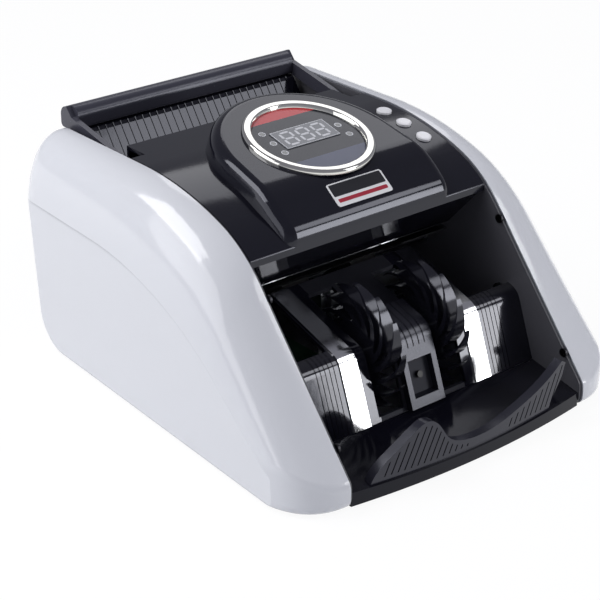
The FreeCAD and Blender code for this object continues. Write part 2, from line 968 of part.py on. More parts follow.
def dome_profile(sink):
    """The dome's top in section: a tilted flat, a bend, a steeper front and a nose that rolls to the lip."""
    tilt = num("dome_tilt")
    steep = num("dome_front_slope")
    slope = math.radians(tilt)
    fall = math.radians(steep)
    flat_end = Vec(0, num("ring_back - dome_flat"), num(DOME_HEIGHT) - num("dome_flat") * math.tan(slope))
    hub = flat_end - Vec(0, -math.sin(slope), math.cos(slope)) * num("dome_bend")
    bend = arc(0, (hub.y, hub.z), num("dome_bend") - sink, 90 + tilt, 90 + steep)
    start = bend.valueAt(bend.FirstParameter)
    # The nose's hub is a nose radius away from both the sloping front and the lip's plane
    ahead = lip_end(0).y + num("dome_nose")
    slack = num("dome_bend - dome_nose")
    height = hub.z + slack / math.cos(fall) - (hub.y - ahead) * math.tan(fall)
    nose = arc(0, (ahead, height), num("dome_nose") - sink, 90 + steep, 180)
    far = num("cover_rear")
    rear_top = Vec(0, far, start.z + (far - start.y) * math.tan(slope))
    return joined([rear_top, bend, nose, Vec(0, lip_end(0).y + sink, -far), Vec(0, far, -far)])


def dome_solid(inset):
    """The dome with its rounded crest, or the hollow below it, drawn in by an inset."""
    half = num("dome_half") - inset
    draft = num("dome_draft")
    crown = num("crown_height")
    foot = lip_end(0).z - 2 * num("panel_lip")
    top = crown + 2 * num("dome_bend")
    walls = Part.makeLoft([
        dome_outline(foot, half + draft * (crown - foot)), dome_outline(top, half - draft * (top - crown)),
    ], True, True)
    width = num("inner_width")
    under = across(dome_profile(inset), width)
    under.translate(Vec(-width / 2, 0, 0))
    solid = walls.common(under)
    crest = [edge for edge in solid.Edges if edge.BoundBox.ZMin > foot + 1 and edge.BoundBox.YLength > 1]
    return solid.makeFillet(num("dome_edge") - inset, crest)


def ring_place(level):
    """A place on the dome's tilted flat, at a level above it, turned to lie in it."""
    turn = FreeCAD.Rotation(Vec(1, 0, 0), num("dome_tilt"))
    base = Vec(0, num("ring_back"), num(DOME_HEIGHT)) + turn.multVec(Vec(0, 0, level))
    return FreeCAD.Placement(base, turn)


def crown_place(piece, x, turn, level):
    """Stand a piece square on the panel, at a turn round the crown and a level above its face."""
    radius = f"(crown_radius - panel_drop + ({level}))"
    piece.Placement.Rotation = FreeCAD.Rotation(Vec(1, 0, 0), num(turn))
    bind(piece, **{"Placement.Rotation.Angle": turn})
    y = f"crown_start - {radius} * sin({turn})"
    z = f"crown_height - crown_radius + {radius} * cos({turn})"
    return put(piece, x, y, z)


def button_turns():
    """The turn round the crown of each button, from rear to front."""
    names = ("rear", "middle", "front")
    return {name: f"(button_turn + {index} * button_step)" for index, name in enumerate(names)}


def button_holes():
    """A round hole through the panel at each button."""
    holes = []
    for turn in button_turns().values():
        lean = FreeCAD.Rotation(Vec(1, 0, 0), num(turn))
        hub = Vec(num(BUTTON_OFF), num("crown_start"), num("crown_height - crown_radius"))
        foot = hub + lean.multVec(Vec(0, 0, num("crown_radius - 2 * button_depth")))
        up = lean.multVec(Vec(0, 0, 1))
        holes.append(Part.makeCylinder(num("button_radius + seat_gap"), num("4 * button_depth"), foot, up))
    return holes


def top_cover():
    """The control panel: a shell between the cheeks with a raised dome for the display."""
    half = num(CHEEK_FACE) - num("fit_gap")
    shell_wire, room_wire = panel_section(-half)
    shell = across(shell_wire, 2 * half)
    room = across(room_wire, 2 * half)
    dome = dome_solid(0).cut(panel_below(half))
    inside = dome_solid(num("panel_wall"))
    depth = 4 * num("ring_skirt")
    well = Part.makeCylinder(num(f"{SKIRT} + fit_gap"), depth)
    well.Placement = ring_place(-depth / 2)
    top = num("crown_height - panel_drop")
    bite = block(-num("bite_half"), num("knob_back - knob_radius - 2"), top, num("2 * bite_half"),
                 num("4 * knob_radius"), num("bite_tall"))
    stem = num("2 * knob_radius")
    stem_hole = Part.makeCylinder(num("knob_stem + fit_gap"), 2 * stem, Vec(0, num("knob_back"), top - stem))
    arm = num(f"handle_arm + 2 * seat_gap - {HANDLE_HALF}") + half
    notch = num("handle_pivot_back - handle_arm_tall")
    deep = num("cover_rear")
    notches = [block(start, notch, top - deep, arm, deep, 2 * deep) for start in (-half, half - arm)]
    cover = shell.fuse(dome)
    for tool in [room, inside, well, bite, stem_hole] + button_holes() + notches:
        cover = cover.cut(tool)
    set_shape("top_cover", cover)


def panel_below(half):
    """The room under the panel's upper face and its lip, where the dome doesn't reach."""
    rear = num("cover_rear")
    wall = num("panel_wall")
    lip = lip_end(-half)
    foot = lip.z - num("panel_lip")
    arcs = crown_arcs(-half, num("panel_drop") + wall, num("panel_lip_turn"))
    top = num("crown_height - panel_drop") - wall
    brow_end = arcs[1].valueAt(arcs[1].LastParameter)
    front = lip.y - wall
    return across(joined([
        Vec(-half, rear, 0), Vec(-half, rear, top), *arcs, Vec(-half, lip.y + wall, brow_end.z),
        Vec(-half, lip.y + wall, foot), Vec(-half, front, foot), Vec(-half, front, 0),
    ]), 2 * half)


def tilted(piece, x, along, level):
    """Put a piece in the dome's tilted flat: a place across and up the flat, and a level above it."""
    piece.Placement.Rotation = FreeCAD.Rotation(Vec(1, 0, 0), num("dome_tilt"))
    bind(piece, **{"Placement.Rotation.Angle": "dome_tilt"})
    y = f"ring_back + ({along}) * cos(dome_tilt) - ({level}) * sin(dome_tilt)"
    z = f"{DOME_HEIGHT} + ({along}) * sin(dome_tilt) + ({level}) * cos(dome_tilt)"
    return put(piece, x, y, z)


def revolved(name, corners):
    """A body turned about Z from an outline of radius and height."""
    body = doc.addObject("PartDesign::Body", name)
    sketch = sketch_on(body, "XZ_Plane", name + "_outline")
    add_polygon(sketch, corners)
    turn = body.newObject("PartDesign::Revolution", name + "_turn")
    turn.Profile = sketch
    turn.ReferenceAxis = (sketch, ["V_Axis"])
    turn.Angle = 360
    sketch.Visibility = False
    return body


def bezel_ring():
    """The chrome ring: a rounded band on the dome, with a skirt in the well and a ledge for the face."""
    ring = revolved("bezel_ring", [
        (f"{SKIRT} - 2 * skirt_wall", "-ring_skirt"), (SKIRT, "-ring_skirt"), (SKIRT, "0"),
        ("ring_radius", "0"), ("ring_radius", "0.4 * ring_height"), ("ring_radius - 1", "0.85 * ring_height"),
        ("ring_radius - 2.2", "ring_height"), ("ring_bore + 1.4", "ring_height"),
        ("ring_bore", "0.6 * ring_height"), ("ring_bore", LEDGE), (f"{SKIRT} - 2 * skirt_wall", LEDGE),
    ])
    keep(tilted(ring, "0", "0", "0"), "bezel_ring")


def lamp_places():
    """Where the indicator lamps stand on the face: three at the left, two at the right."""
    left = [("-lamp_left", f"window_off + {step} * lamp_pitch") for step in (1, 0, -1)]
    right = [("lamp_right", f"window_off + {step} * lamp_pitch") for step in (0, -1)]
    return left + right


def display():
    """The round face with its window and lamps, the digit module and the board below."""
    body = doc.addObject("PartDesign::Body", "display_face")
    sketch = sketch_on(body, "XY_Plane", "face_outline")
    add_circle(sketch, "0", "0", "ring_bore - fit_gap")
    long, wide = "window_long / 2", "window_wide / 2"
    low, high = f"window_off - {wide}", f"window_off + {wide}"
    add_polygon(sketch, [(f"-{long}", low), (long, low), (long, high), (f"-{long}", high)])
    for x, y in lamp_places():
        add_circle(sketch, x, y, "lamp_radius + fit_gap")
    pad(body, sketch, "face_wall", back=True)
    keep(tilted(body, "0", "0", "face_level"), "display_face")
    lamps = []
    for index, (x, y) in enumerate(lamp_places()):
        lamp = bind(doc.addObject("Part::Cylinder", f"lamp_{index}"), Radius="lamp_radius",
                    Height="ring_skirt + face_level + fit_gap")
        lamps.append(tilted(lamp, x, y, "-ring_skirt"))
    group(lamps, "indicator_leds")
    module = bind(doc.addObject("Part::Box", "digit_module"), Length="window_long - 2 * fit_gap",
                  Width="window_wide - 2 * fit_gap", Height="ring_skirt + face_level + window_proud")
    keep(tilted(module, f"fit_gap - {long}", f"{low} + fit_gap", "-ring_skirt"), "digit_module")
    board = bind(doc.addObject("Part::Cylinder", "display_board"), Radius=SKIRT, Height="board_wall")
    tilted(board, "0", "0", "-ring_skirt - board_wall")
    group([board, key_board()], "control_boards")


def buttons():
    """Three round buttons with stems, over small switches on their own board."""
    for name, turn in button_turns().items():
        cap = revolved(f"{name}_button", [
            ("0", "-button_depth"), ("button_stem", "-button_depth"), ("button_stem", "-2 * button_proud"),
            ("button_radius", "-2 * button_proud"), ("button_radius", "0.7 * button_proud"),
            ("button_radius - button_round", "button_proud"), ("0", "button_proud"),
        ])
        keep(crown_place(cap, BUTTON_OFF, turn, "0"), f"{name}_button")


def key_board():
    """The small board under the buttons: a switch below each stem, and a post at each end to the panel."""
    pitch = "(crown_radius * sin(button_step))"
    reach = f"({pitch} + button_radius + 2 * key_post)"
    half = f"({reach} + 2 * key_post)"
    sink = "(crown_radius * (1 - cos(button_step)) + button_stem * sin(button_step))"
    depth = f"(button_depth + button_travel + {sink} + seat_gap + switch_cube + board_wall)"
    pieces = [middle_box("key_board", "0", f"-{half}", "0", "2 * switch_cube", f"2 * {half}", "board_wall")]
    for step in (-1, 0, 1):
        pieces.append(middle_box(f"key_switch_{step + 1}", "0", f"{step} * {pitch} - switch_cube / 2",
                                 "board_wall", "switch_cube", "switch_cube", "switch_cube"))
    under = "(crown_radius - panel_drop - panel_wall)"
    sag = f"({under} - sqrt({under} ^ 2 - ({reach} + key_post) ^ 2))"
    for index, sign in enumerate(("-", "")):
        pieces.append(post(f"key_post_{index}", "0", f"{sign}{reach}", "0", "key_post",
                           f"{depth} - panel_wall - {sag} - fit_gap"))
    board = fused("key_switches", pieces)
    return crown_place(board, BUTTON_OFF, button_turns()["middle"], f"-{depth}")


def adjuster_knob():
    """The thumb wheel that sets the feed gap, with its screw stem down to the retard block."""
    ridges = []
    level = "(crown_height - panel_drop + fit_gap)"
    reach = "(knob_radius - knob_ridge)"
    disc = post("knob_disc", "0", "knob_back", level, "knob_radius - knob_ridge / 2", "knob_tall")
    for index in range(int(num("knob_ridges"))):
        turn = f"({index} * 360 / knob_ridges)"
        x, y = f"{reach} * cos({turn})", f"knob_back + {reach} * sin({turn})"
        ridges.append(post(f"knob_ridge_{index}", x, y, level, "knob_ridge", "knob_tall"))
    foot = f"({RETARD_TOP} + seat_gap)"
    stem = post("knob_screw", "0", "knob_back", foot, "knob_stem", f"{level} + knob_tall / 2 - {foot}")
    keep(fused("adjuster_knob", [disc, stem] + ridges), "adjuster_knob")


def carry_handle():
    """The folding carry handle: a rounded bar, two arms and the pins that they turn on."""
    half = num(HANDLE_HALF)
    foot = num(HANDLE_FOOT)
    top = foot + num("handle_tall")
    back = num("handle_back")
    front = back - num("handle_deep")
    pivot = Vec(0, num("handle_pivot_back"), num(HANDLE_PIVOT))
    reach = num("handle_arm_tall") / 2
    round_top = num("handle_round")
    round_foot = num("handle_foot_round")
    grip = [Vec(-half, front, foot), Vec(-half, back, foot), Vec(-half, back, top), Vec(-half, front, top)]
    shape = across(rounded(grip, [round_foot, round_foot, round_top, round_top]), 2 * half)
    arm = num("handle_arm")
    for side in (LEFT, RIGHT):
        start = half if side == RIGHT else -half - arm
        wire = joined([
            arc(start, (pivot.y, pivot.z), reach, 90, 270),
            Vec(start, pivot.y + reach, pivot.z - reach), Vec(start, front + reach, foot),
            corner(Vec(start, front, foot), Vec(start, back, foot), Vec(start, back, top), round_foot),
            corner(Vec(start, back, foot), Vec(start, back, top), Vec(start, front, top), round_top),
            Vec(start, front + round_foot, foot + 2 * reach),
        ])
        shape = shape.fuse(across(wire, arm))
        pin_length = num(COVER_FACE) - half - arm - num("seat_gap")
        tip = half + arm if side == RIGHT else -half - arm - pin_length
        shape = shape.fuse(bar(tip, pivot.y, pivot.z, num("handle_pin"), pin_length))
    set_shape("carry_handle", shape)


def hopper_and_rear():
    """The rear cover with its openings and vents, and the sloping bed that the notes lean on."""
    half = num(BED_HALF)
    wall = num("bed_wall")
    path = [
        Vec(-half, num("rear_face - rear_wall"), num(BED_TOP)),
        Vec(-half, num("bed_edge"), num(BED_TOP)),
        Vec(-half, num("bed_toe_back"), num("bed_toe_height")),
    ]
    bed = across(bent_sheet(path, wall, num("bed_bend")), 2 * half)
    rib = across(bent_sheet(path[1:], -num("bed_rib"), 0), num("bed_rib"))
    pitch = num("rib_pitch")
    reach = int(half / pitch - 1)
    ridges = []
    for index in range(-reach, reach + 1):
        ridge = rib.copy()
        ridge.translate(Vec(half + index * pitch, 0, 0))
        ridges.append(ridge)
    bed = bed.multiFuse(ridges)
    gap = num("roller_gap")
    width = num("pickup_width") + 2 * gap
    reach = num("pickup_radius") + gap
    for start in (num("pickup_off") - gap, gap - num("pickup_off") - width):
        centre = (num("pickup_back"), num("pickup_height"))
        bed = bed.cut(bar(start, *centre, reach, width))
    set_shape("hopper_bed", bed)
    low, high = "foot_height", BED_TOP
    side = f"({CHEEK_FACE} - fit_gap)"
    inner = BED_HALF
    notch = f"({HANDLE_PIVOT} - handle_arm_tall)"
    plate = slab("rear_plate", "XZ_Plane", [
        (f"-{side}", low), (side, low), (side, notch), (inner, notch), (inner, high),
        (f"-{inner}", high), (f"-{inner}", notch), (f"-{side}", notch),
    ], "rear_wall")
    put(plate, "0", "rear_face", "0")
    start, through = "rear_face - 2 * rear_wall", "3 * rear_wall"
    tall = "(socket_tall + 2 * seat_gap)"
    foot = f"inlet_height - {tall} / 2"
    tools = [
        middle_box("inlet_hole", "inlet_off", start, foot, "(socket_wide + 2 * seat_gap)", through, tall),
        middle_box("switch_hole", "switch_off", start, foot, "(switch_wide + 2 * seat_gap)", through, tall),
    ]
    for index in range(int(num("vent_count"))):
        x = f"vent_off + {index} * vent_pitch"
        tools.append(middle_box(f"vent_{index}", x, start, "vent_height", "vent_wide", through, "vent_tall"))
    keep(cut("rear_cover", plate, tools), "rear_cover")


def throat_panel():
    """The black panel in the stacker's mouth, from the control panel's lip back to the note slit."""
    half = num(CHEEK_FACE) - num("fit_gap")
    top = lip_end(-half) + Vec(0, num("panel_wall + fit_gap"), -num("panel_lip"))
    y = num("deck_back + throat_back")
    foot = Vec(-half, y, paper_line(y) + num("guide_gap + guide_wall + seat_gap"))
    set_shape("throat_panel", across(bent_sheet([top, foot], num("throat_wall"), 0), 2 * half))


def paper_line(y):
    """The height of the paper path between the feed nip and the transport nip."""
    feed = num("feed_back"), num(NIP_HEIGHT)
    transport = num("transport_back"), num("transport_height + transport_radius + nip_gap")
    slope = (feed[1] - transport[1]) / (feed[0] - transport[0])
    return transport[1] + (y - transport[0]) * slope


def guide_plates():
    """Two sheets that guide the notes from the feed rollers to the stacker wheels."""
    half = num(CHEEK_FACE) - num("fit_gap")
    gap = num("guide_gap")
    wall = num("guide_wall")
    sheets = []
    slack = num("roller_gap")
    width = num("roller_width") + 2 * slack
    slot = num("guide_slot")
    front = num("transport_back") - slot / 2
    low, tall = num("transport_height - transport_radius"), num("4 * transport_radius")
    for rear, lift, thick in ((num("feed_back - upper_guide_gap"), gap, -wall),
                              (num("feed_back - lower_guide_gap"), -gap, wall)):
        path = [Vec(-half, y, paper_line(y) + lift) for y in (rear, num("deck_back + guide_tail"))]
        plate = across(bent_sheet(path, thick, 0), 2 * half)
        for start in (num("roller_off") - slack, slack - num("roller_off") - width):
            plate = plate.cut(block(start, front, low, width, slot, tall))
        sheets.append(plate)
    set_shape("guide_plates", Part.makeCompound(sheets))


def retard():
    """The block that holds notes back at the feed nip, on its rod, and its rubber pad."""
    bottom = f"({NIP_HEIGHT} + pad_wall)"
    front = "(feed_back - retard_deep / 2)"
    arm_front = "(knob_back - 2 * knob_stem)"
    body = middle_box("retard_body", "0", front, bottom, "2 * retard_half", "retard_deep", "retard_tall")
    arm = middle_box("retard_arm", "0", arm_front, f"{bottom} + retard_tall - retard_arm_tall",
                     "retard_arm_wide", f"{front} - {arm_front}", "retard_arm_tall")
    hole = rod("retard_hole", "-retard_half - seat_gap", "feed_back", "retard_rod_height",
               "rod_radius + fit_gap", "2 * (retard_half + seat_gap)")
    keep(cut("retard_block", fused("retard_solid", [body, arm]), [hole]), "retard_block")
    pad_piece = middle_box("retard_pad", "0", front, NIP_HEIGHT, "2 * retard_half", "retard_deep", "pad_wall")
    keep(pad_piece, "retard_pad")


def stacker_path(x):
    """The stacker plate's outer face in section: a deck, a knee and a steep front."""
    return [
        Vec(x, num("deck_back"), num("deck_height")),
        Vec(x, num("plate_knee_back"), num("plate_knee_height")),
        Vec(x, num("plate_foot_back"), num("tray_back_height")),
    ]


def wing_grooves():
    """Fine upright grooves in the outer face of the plate's two wings."""
    depth = num("wing_groove_depth")
    bend = num("plate_bend + plate_wall") - depth
    grooves = []
    for index in range(int(num("wing_grooves"))):
        x = num("wing_groove_first") + index * num("wing_groove_pitch")
        for start in (x, -x - num("wing_groove")):
            grooves.append(across(bent_sheet(stacker_path(start), depth, bend), num("wing_groove")))
    return Part.makeCompound(grooves)


def stacker_plate():
    """The plate that strips notes from the wheels, with its fine grooves, and its two polished strips."""
    half = num(CHEEK_FACE) - num("fit_gap")
    wall = num("plate_wall")
    bend = num("plate_bend")
    plate = across(bent_sheet(stacker_path(-half), wall, bend), 2 * half)
    slot = 2 * num("wheel_slot")
    tall = num("crown_height")
    far = num("inner_width")
    for side in (LEFT, RIGHT):
        start = side * num("wheel_off") - num("wheel_slot")
        plate = plate.cut(block(start, num("slot_rear") - far, num("slot_foot"), slot, far, tall))
        start = num("wing_edge") if side == RIGHT else -num("wing_edge") - half
        plate = plate.cut(block(start, num("wing_rear"), 0, half, far, tall))
    set_shape("stacker_plate", plate.cut(wing_grooves()))
    width = num("strip_out - strip_in")
    strips = []
    for start in (num("strip_in"), -num("strip_out")):
        wire = bent_sheet(stacker_path(start), -num("strip_wall"), bend + wall + num("strip_wall"))
        strips.append(across(wire, width))
    set_shape("guide_strips", Part.makeCompound(strips))


def sensor_block():
    """The sensor block between the wheels: a window low down, and four fine grooves over its rounded top."""
    half = num("block_half")
    path = stacker_path(-half)
    deck_fall = (path[0].z - path[1].z) / (path[0].y - path[1].y)
    top_back = num("block_top_back")
    path[0] = Vec(path[0].x, top_back, path[1].z + (top_back - path[1].y) * deck_fall)
    thick = num("block_wall")
    under = thick - num("block_groove_depth")
    bend = num("plate_bend + plate_wall")
    body = across(bent_sheet(path, -thick, bend + thick), 2 * half)
    skin = body.cut(across(bent_sheet(path, -under, bend + under), 2 * half))
    deep = num("tray_front")
    width = num("block_groove")
    slots = []
    for index in range(4):
        x = (index - 1.5) * num("block_groove_pitch") - width / 2
        slots.append(block(x, -deep, num("plate_knee_height - block_groove_drop"), width, deep, deep))
    window = block(num("block_rim") - half, -deep, num("block_window_foot"), 2 * half - 2 * num("block_rim"),
                   deep, num("block_window_tall"))
    set_shape("sensor_block", body.cut(window).cut(skin.common(Part.makeCompound(slots))))


def optical_sensors():
    """The encoder's fork, a stack sensor in the block's window and two counting sensors by the paper."""
    sensors = [encoder()]
    foot, knee = stacker_path(0)[2], stacker_path(0)[1]
    lean = math.degrees(math.atan2(knee.y - foot.y, knee.z - foot.z))
    lens = bind(doc.addObject("Part::Cylinder", "stack_lens"), Radius="lens_radius", Height="lens_length")
    lens.Placement.Rotation = FreeCAD.Rotation(Vec(1, 0, 0), 90 - lean)
    put(lens, "0", "plate_foot_back + lens_share * (plate_knee_back - plate_foot_back)",
        "tray_back_height + lens_share * (plate_knee_height - tray_back_height)")
    sensors.append(lens)
    y = num("cell_back")
    height = paper_line(y) + num("guide_gap + guide_wall + fit_gap")
    tilt = math.degrees(math.atan(paper_line(1) - paper_line(0)))
    for name, x in (("left", "left_cell"), ("right", "right_cell")):
        cell = bind(doc.addObject("Part::Box", f"{name}_count_sensor"), Length="cell_long", Width="cell_deep",
                    Height="cell_tall")
        turn = FreeCAD.Rotation(Vec(1, 0, 0), tilt)
        cell.Placement = FreeCAD.Placement(Vec(num(x), y, height), turn)
        sensors.append(cell)
    group(sensors, "optical_sensors")


def roller_pair(name, y, z, radius, off, width):
    """Two rubber rollers on a shaft, one each side of the middle."""
    rings = []
    for side, start in (("left", f"-{off} - {width}"), ("right", off)):
        rings.append(stepped(f"{name}_{side}", start, y, z, [(width, radius)], "shaft_radius + fit_gap"))
    return group(rings, name)


def pulley(name, x, y, z, radius, bore="shaft_radius + fit_gap"):
    """A belt pulley with two flanges, from its left face."""
    flange = ("flange_wall", f"({radius} + flange_rise)")
    return stepped(name, x, y, z, [flange, ("belt_width", radius), flange], bore)


def shafts_and_rollers():
    """The five shafts with what turns on each."""
    end = "(bearing_width + seat_gap)"
    right_end = {
        "feed": f"{BELT_OUTER} + {PULLEY_WIDTH}", "transport": f"{BELT_OUTER} + {PULLEY_WIDTH}",
        "stacker": f"{BELT_PLANE} + {PULLEY_WIDTH}",
    }
    left_end = {"feed": f"{BELT_PLANE} + {PULLEY_WIDTH}", "pickup": f"{BELT_PLANE} + {PULLEY_WIDTH}",
                "transport": f"{BELT_PLANE} + 2 * disc_rim + encoder_wall"}
    for name, (y, z) in SHAFTS.items():
        left = left_end.get(name, f"{CHEEK_FACE} + {end}")
        right = right_end.get(name, f"{CHEEK_FACE} + {end}")
        shaft = rod(f"{name}_shaft", f"-({left})", y, z, "shaft_radius", f"({left}) + ({right})")
        keep(shaft, f"{name}_shaft")
    roller_pair("feed_rollers", *SHAFTS["feed"], "feed_radius", "roller_off", "roller_width")
    roller_pair("pickup_rollers", *SHAFTS["pickup"], "pickup_radius", "pickup_off", "pickup_width")
    roller_pair("transport_rollers", *SHAFTS["transport"], "transport_radius", "roller_off", "roller_width")
    roller_pair("pinch_rollers", *SHAFTS["pinch"], "pinch_radius", "roller_off", "roller_width")
    far_left = f"-({BELT_PLANE} + {PULLEY_WIDTH})"
    group([
        pulley("feed_drive_pulley", BELT_PLANE, *SHAFTS["feed"], "drive_pulley"),
        pulley("feed_link_pulley", BELT_OUTER, *SHAFTS["feed"], "link_pulley"),
        pulley("feed_pickup_pulley", far_left, *SHAFTS["feed"], "link_pulley"),
    ], "feed_pulleys")
    keep(pulley("pickup_pulley", far_left, *SHAFTS["pickup"], "pickup_pulley"), "pickup_pulley")
    group([
        pulley("transport_link_pulley", BELT_OUTER, *SHAFTS["transport"], "link_pulley"),
        pulley("transport_stacker_pulley", BELT_PLANE, *SHAFTS["transport"], "small_pulley"),
    ], "transport_pulleys")
    keep(pulley("stacker_pulley", BELT_PLANE, *SHAFTS["stacker"], "stacker_pulley"), "stacker_pulley")


def finger_sketch(body):
    """One finger of a stacker wheel: two arcs that meet at its tip and run in to the hub."""
    sketch = sketch_on(body, "YZ_Plane", body.Name + "_finger")
    ends = []
    tip = Vec(num("wheel_radius"), 0, 0)
    hub = num("wheel_hub - 1")
    places = [("finger_out", "-finger_back"), ("finger_out + finger_web", "-(finger_back + finger_web)")]
    for across_, up in places:
        centre = Vec(num(across_), num(up), 0)
        radius = centre.distanceToPoint(tip)
        start = math.atan2(tip.y - centre.y, tip.x - centre.x)
        reach = centre.Length
        cosine = (hub ** 2 - reach ** 2 - radius ** 2) / (2 * reach * radius)
        stop = math.atan2(centre.y, centre.x) + math.acos(cosine)
        circle = Part.Circle(centre, Vec(0, 0, 1), radius)
        item = sketch.addGeometry(Part.ArcOfCircle(circle, start, stop))
        pin(sketch, item, 3, across_, up)
        hold(sketch, "Radius", item, size=f"sqrt((wheel_radius - ({across_})) ^ 2 + ({up}) ^ 2)")
        ends.append(circle.value(stop))
    root = sketch.addGeometry(Part.LineSegment(*ends))
    ring = sketch.addGeometry(Part.Circle(Vec(), Vec(0, 0, 1), hub), True)
    sketch.addConstraint(Sketcher.Constraint("Coincident", ring, 3, -1, 1))
    hold(sketch, "Radius", ring, size="wheel_hub - 1")
    sketch.addConstraint(Sketcher.Constraint("Coincident", 0, 1, 1, 1))
    for item, end in ((0, 1), (1, 2)):
        sketch.addConstraint(Sketcher.Constraint("Coincident", item, 2, root, end))
        sketch.addConstraint(Sketcher.Constraint("PointOnObject", item, 2, ring))
    return sketch


def stacker_wheel(name, x):
    """A stacker wheel: a hub with curved fingers whose tips trail, so that a note slides in between."""
    body = doc.addObject("PartDesign::Body", name)
    hub = sketch_on(body, "YZ_Plane", name + "_hub")
    add_circle(hub, "0", "0", "wheel_hub")
    add_circle(hub, "0", "0", "shaft_radius + fit_gap")
    pad(body, hub, "wheel_width", middle=True)
    finger = pad(body, finger_sketch(body), "wheel_width", middle=True)
    ring = body.newObject("PartDesign::PolarPattern", name + "_fingers")
    ring.Originals = [finger]
    ring.Axis = (next(item for item in body.Origin.OriginFeatures if item.Role == "X_Axis"), [""])
    ring.Angle = 360
    bind(ring, Occurrences="finger_count")
    body.Tip = ring
    return put(body, x, *SHAFTS["stacker"])


def stacker_wheels():
    """The pair of finger wheels, each turned down towards its rim so that the fingers end in points."""
    wheels = []
    half, point = "wheel_width / 2", "finger_point / 2"
    rim = "wheel_radius + finger_web"
    for name, x in (("left", "-wheel_off"), ("right", "wheel_off")):
        taper = revolved(f"{name}_taper", [
            ("0", f"-{half}"), ("finger_shoulder", f"-{half}"), (rim, f"-{point}"),
            (rim, point), ("finger_shoulder", half), ("0", half),
        ])
        taper.Placement.Rotation = FreeCAD.Rotation(Vec(0, 1, 0), 90)
        pointed = doc.addObject("Part::Common", f"{name}_pointed_wheel")
        pointed.Base = stacker_wheel(f"{name}_wheel", x)
        pointed.Tool = put(taper, x, *SHAFTS["stacker"])
        wheels.append(pointed)
    group(wheels, "stacker_wheels")


def belt(label, x, first, first_radius, second, second_radius):
    """A flat belt round two pulleys, just clear of them."""
    start = num(x)
    centres = [Vec(start, num(y), num(z)) for y, z in (first, second)]
    run = centres[1] - centres[0]
    heading = math.degrees(math.atan2(run.z, run.y))
    spread = math.degrees(math.acos((num(first_radius) - num(second_radius)) / run.Length))
    loops = []
    for grow in (num("belt_gap + belt_wall"), num("belt_gap")):
        loops.append(joined([
            arc(start, (centres[0].y, centres[0].z), num(first_radius) + grow, heading + spread,
                heading + 360 - spread),
            arc(start, (centres[1].y, centres[1].z), num(second_radius) + grow, heading - spread,
                heading + spread),
        ]))
    width = num("belt_width - 2 * belt_side")
    set_shape(label, across(loops[0], width).cut(across(loops[1], width)))


def belts():
    """The four belts: motor to feed, feed to transport, transport to stacker and feed to pickup."""
    inner = f"{BELT_PLANE} + flange_wall + belt_side"
    outer = f"{BELT_OUTER} + flange_wall + belt_side"
    left = f"-({BELT_PLANE} + flange_wall + belt_width - belt_side)"
    motor = ("motor_back", "motor_height")
    belt("drive_belt", inner, motor, "motor_pulley", SHAFTS["feed"], "drive_pulley")
    belt("transport_belt", outer, SHAFTS["transport"], "link_pulley", SHAFTS["feed"], "link_pulley")
    belt("stacker_belt", inner, SHAFTS["stacker"], "stacker_pulley", SHAFTS["transport"], "small_pulley")
    belt("pickup_belt", left, SHAFTS["feed"], "link_pulley", SHAFTS["pickup"], "pickup_pulley")


def motor():
    """The drive motor on its foot, and its shaft with the pulley on it."""
    start = f"({MOTOR_END} - motor_length)"
    y, z = "motor_back", "motor_height"
    can = rod("motor_can", start, y, z, "motor_radius", "motor_length - motor_nose")
    nose = rod("motor_nose", f"{MOTOR_END} - motor_nose", y, z, "3 * motor_shaft", "motor_nose")
    cap = rod("motor_cap", f"{start} - motor_cap", y, z, "motor_radius - motor_cap", "motor_cap")
    foot = box("motor_foot", f"{start} + 2 * motor_nose", f"{y} - motor_radius", PAN_FLOOR,
               "motor_length - 4 * motor_nose", "2 * motor_radius", f"{z} - {PAN_FLOOR} - motor_radius / 3")
    depth = "(spindle_depth + seat_gap)"
    bore = rod("motor_bore", f"{MOTOR_END} - {depth}", y, z, "motor_shaft + fit_gap", f"{depth} + motor_nose")
    keep(cut("drive_motor", fused("motor_solid", [can, nose, cap, foot]), [bore]), "drive_motor")
    spindle = rod("motor_spindle", f"{MOTOR_END} - spindle_depth", y, z, "motor_shaft",
                  f"{BELT_PLANE} + {PULLEY_WIDTH} - {MOTOR_END} + spindle_depth")
    flange = ("flange_wall", "(motor_pulley + flange_rise)")
    wheel = []
    place = BELT_PLANE
    for index, (length, radius) in enumerate([flange, ("belt_width", "motor_pulley"), flange]):
        wheel.append(rod(f"motor_pulley_{index}", place, y, z, radius, length))
        place = f"{place} + {length}"
    keep(fused("motor_pulley", [spindle] + wheel), "motor_pulley")


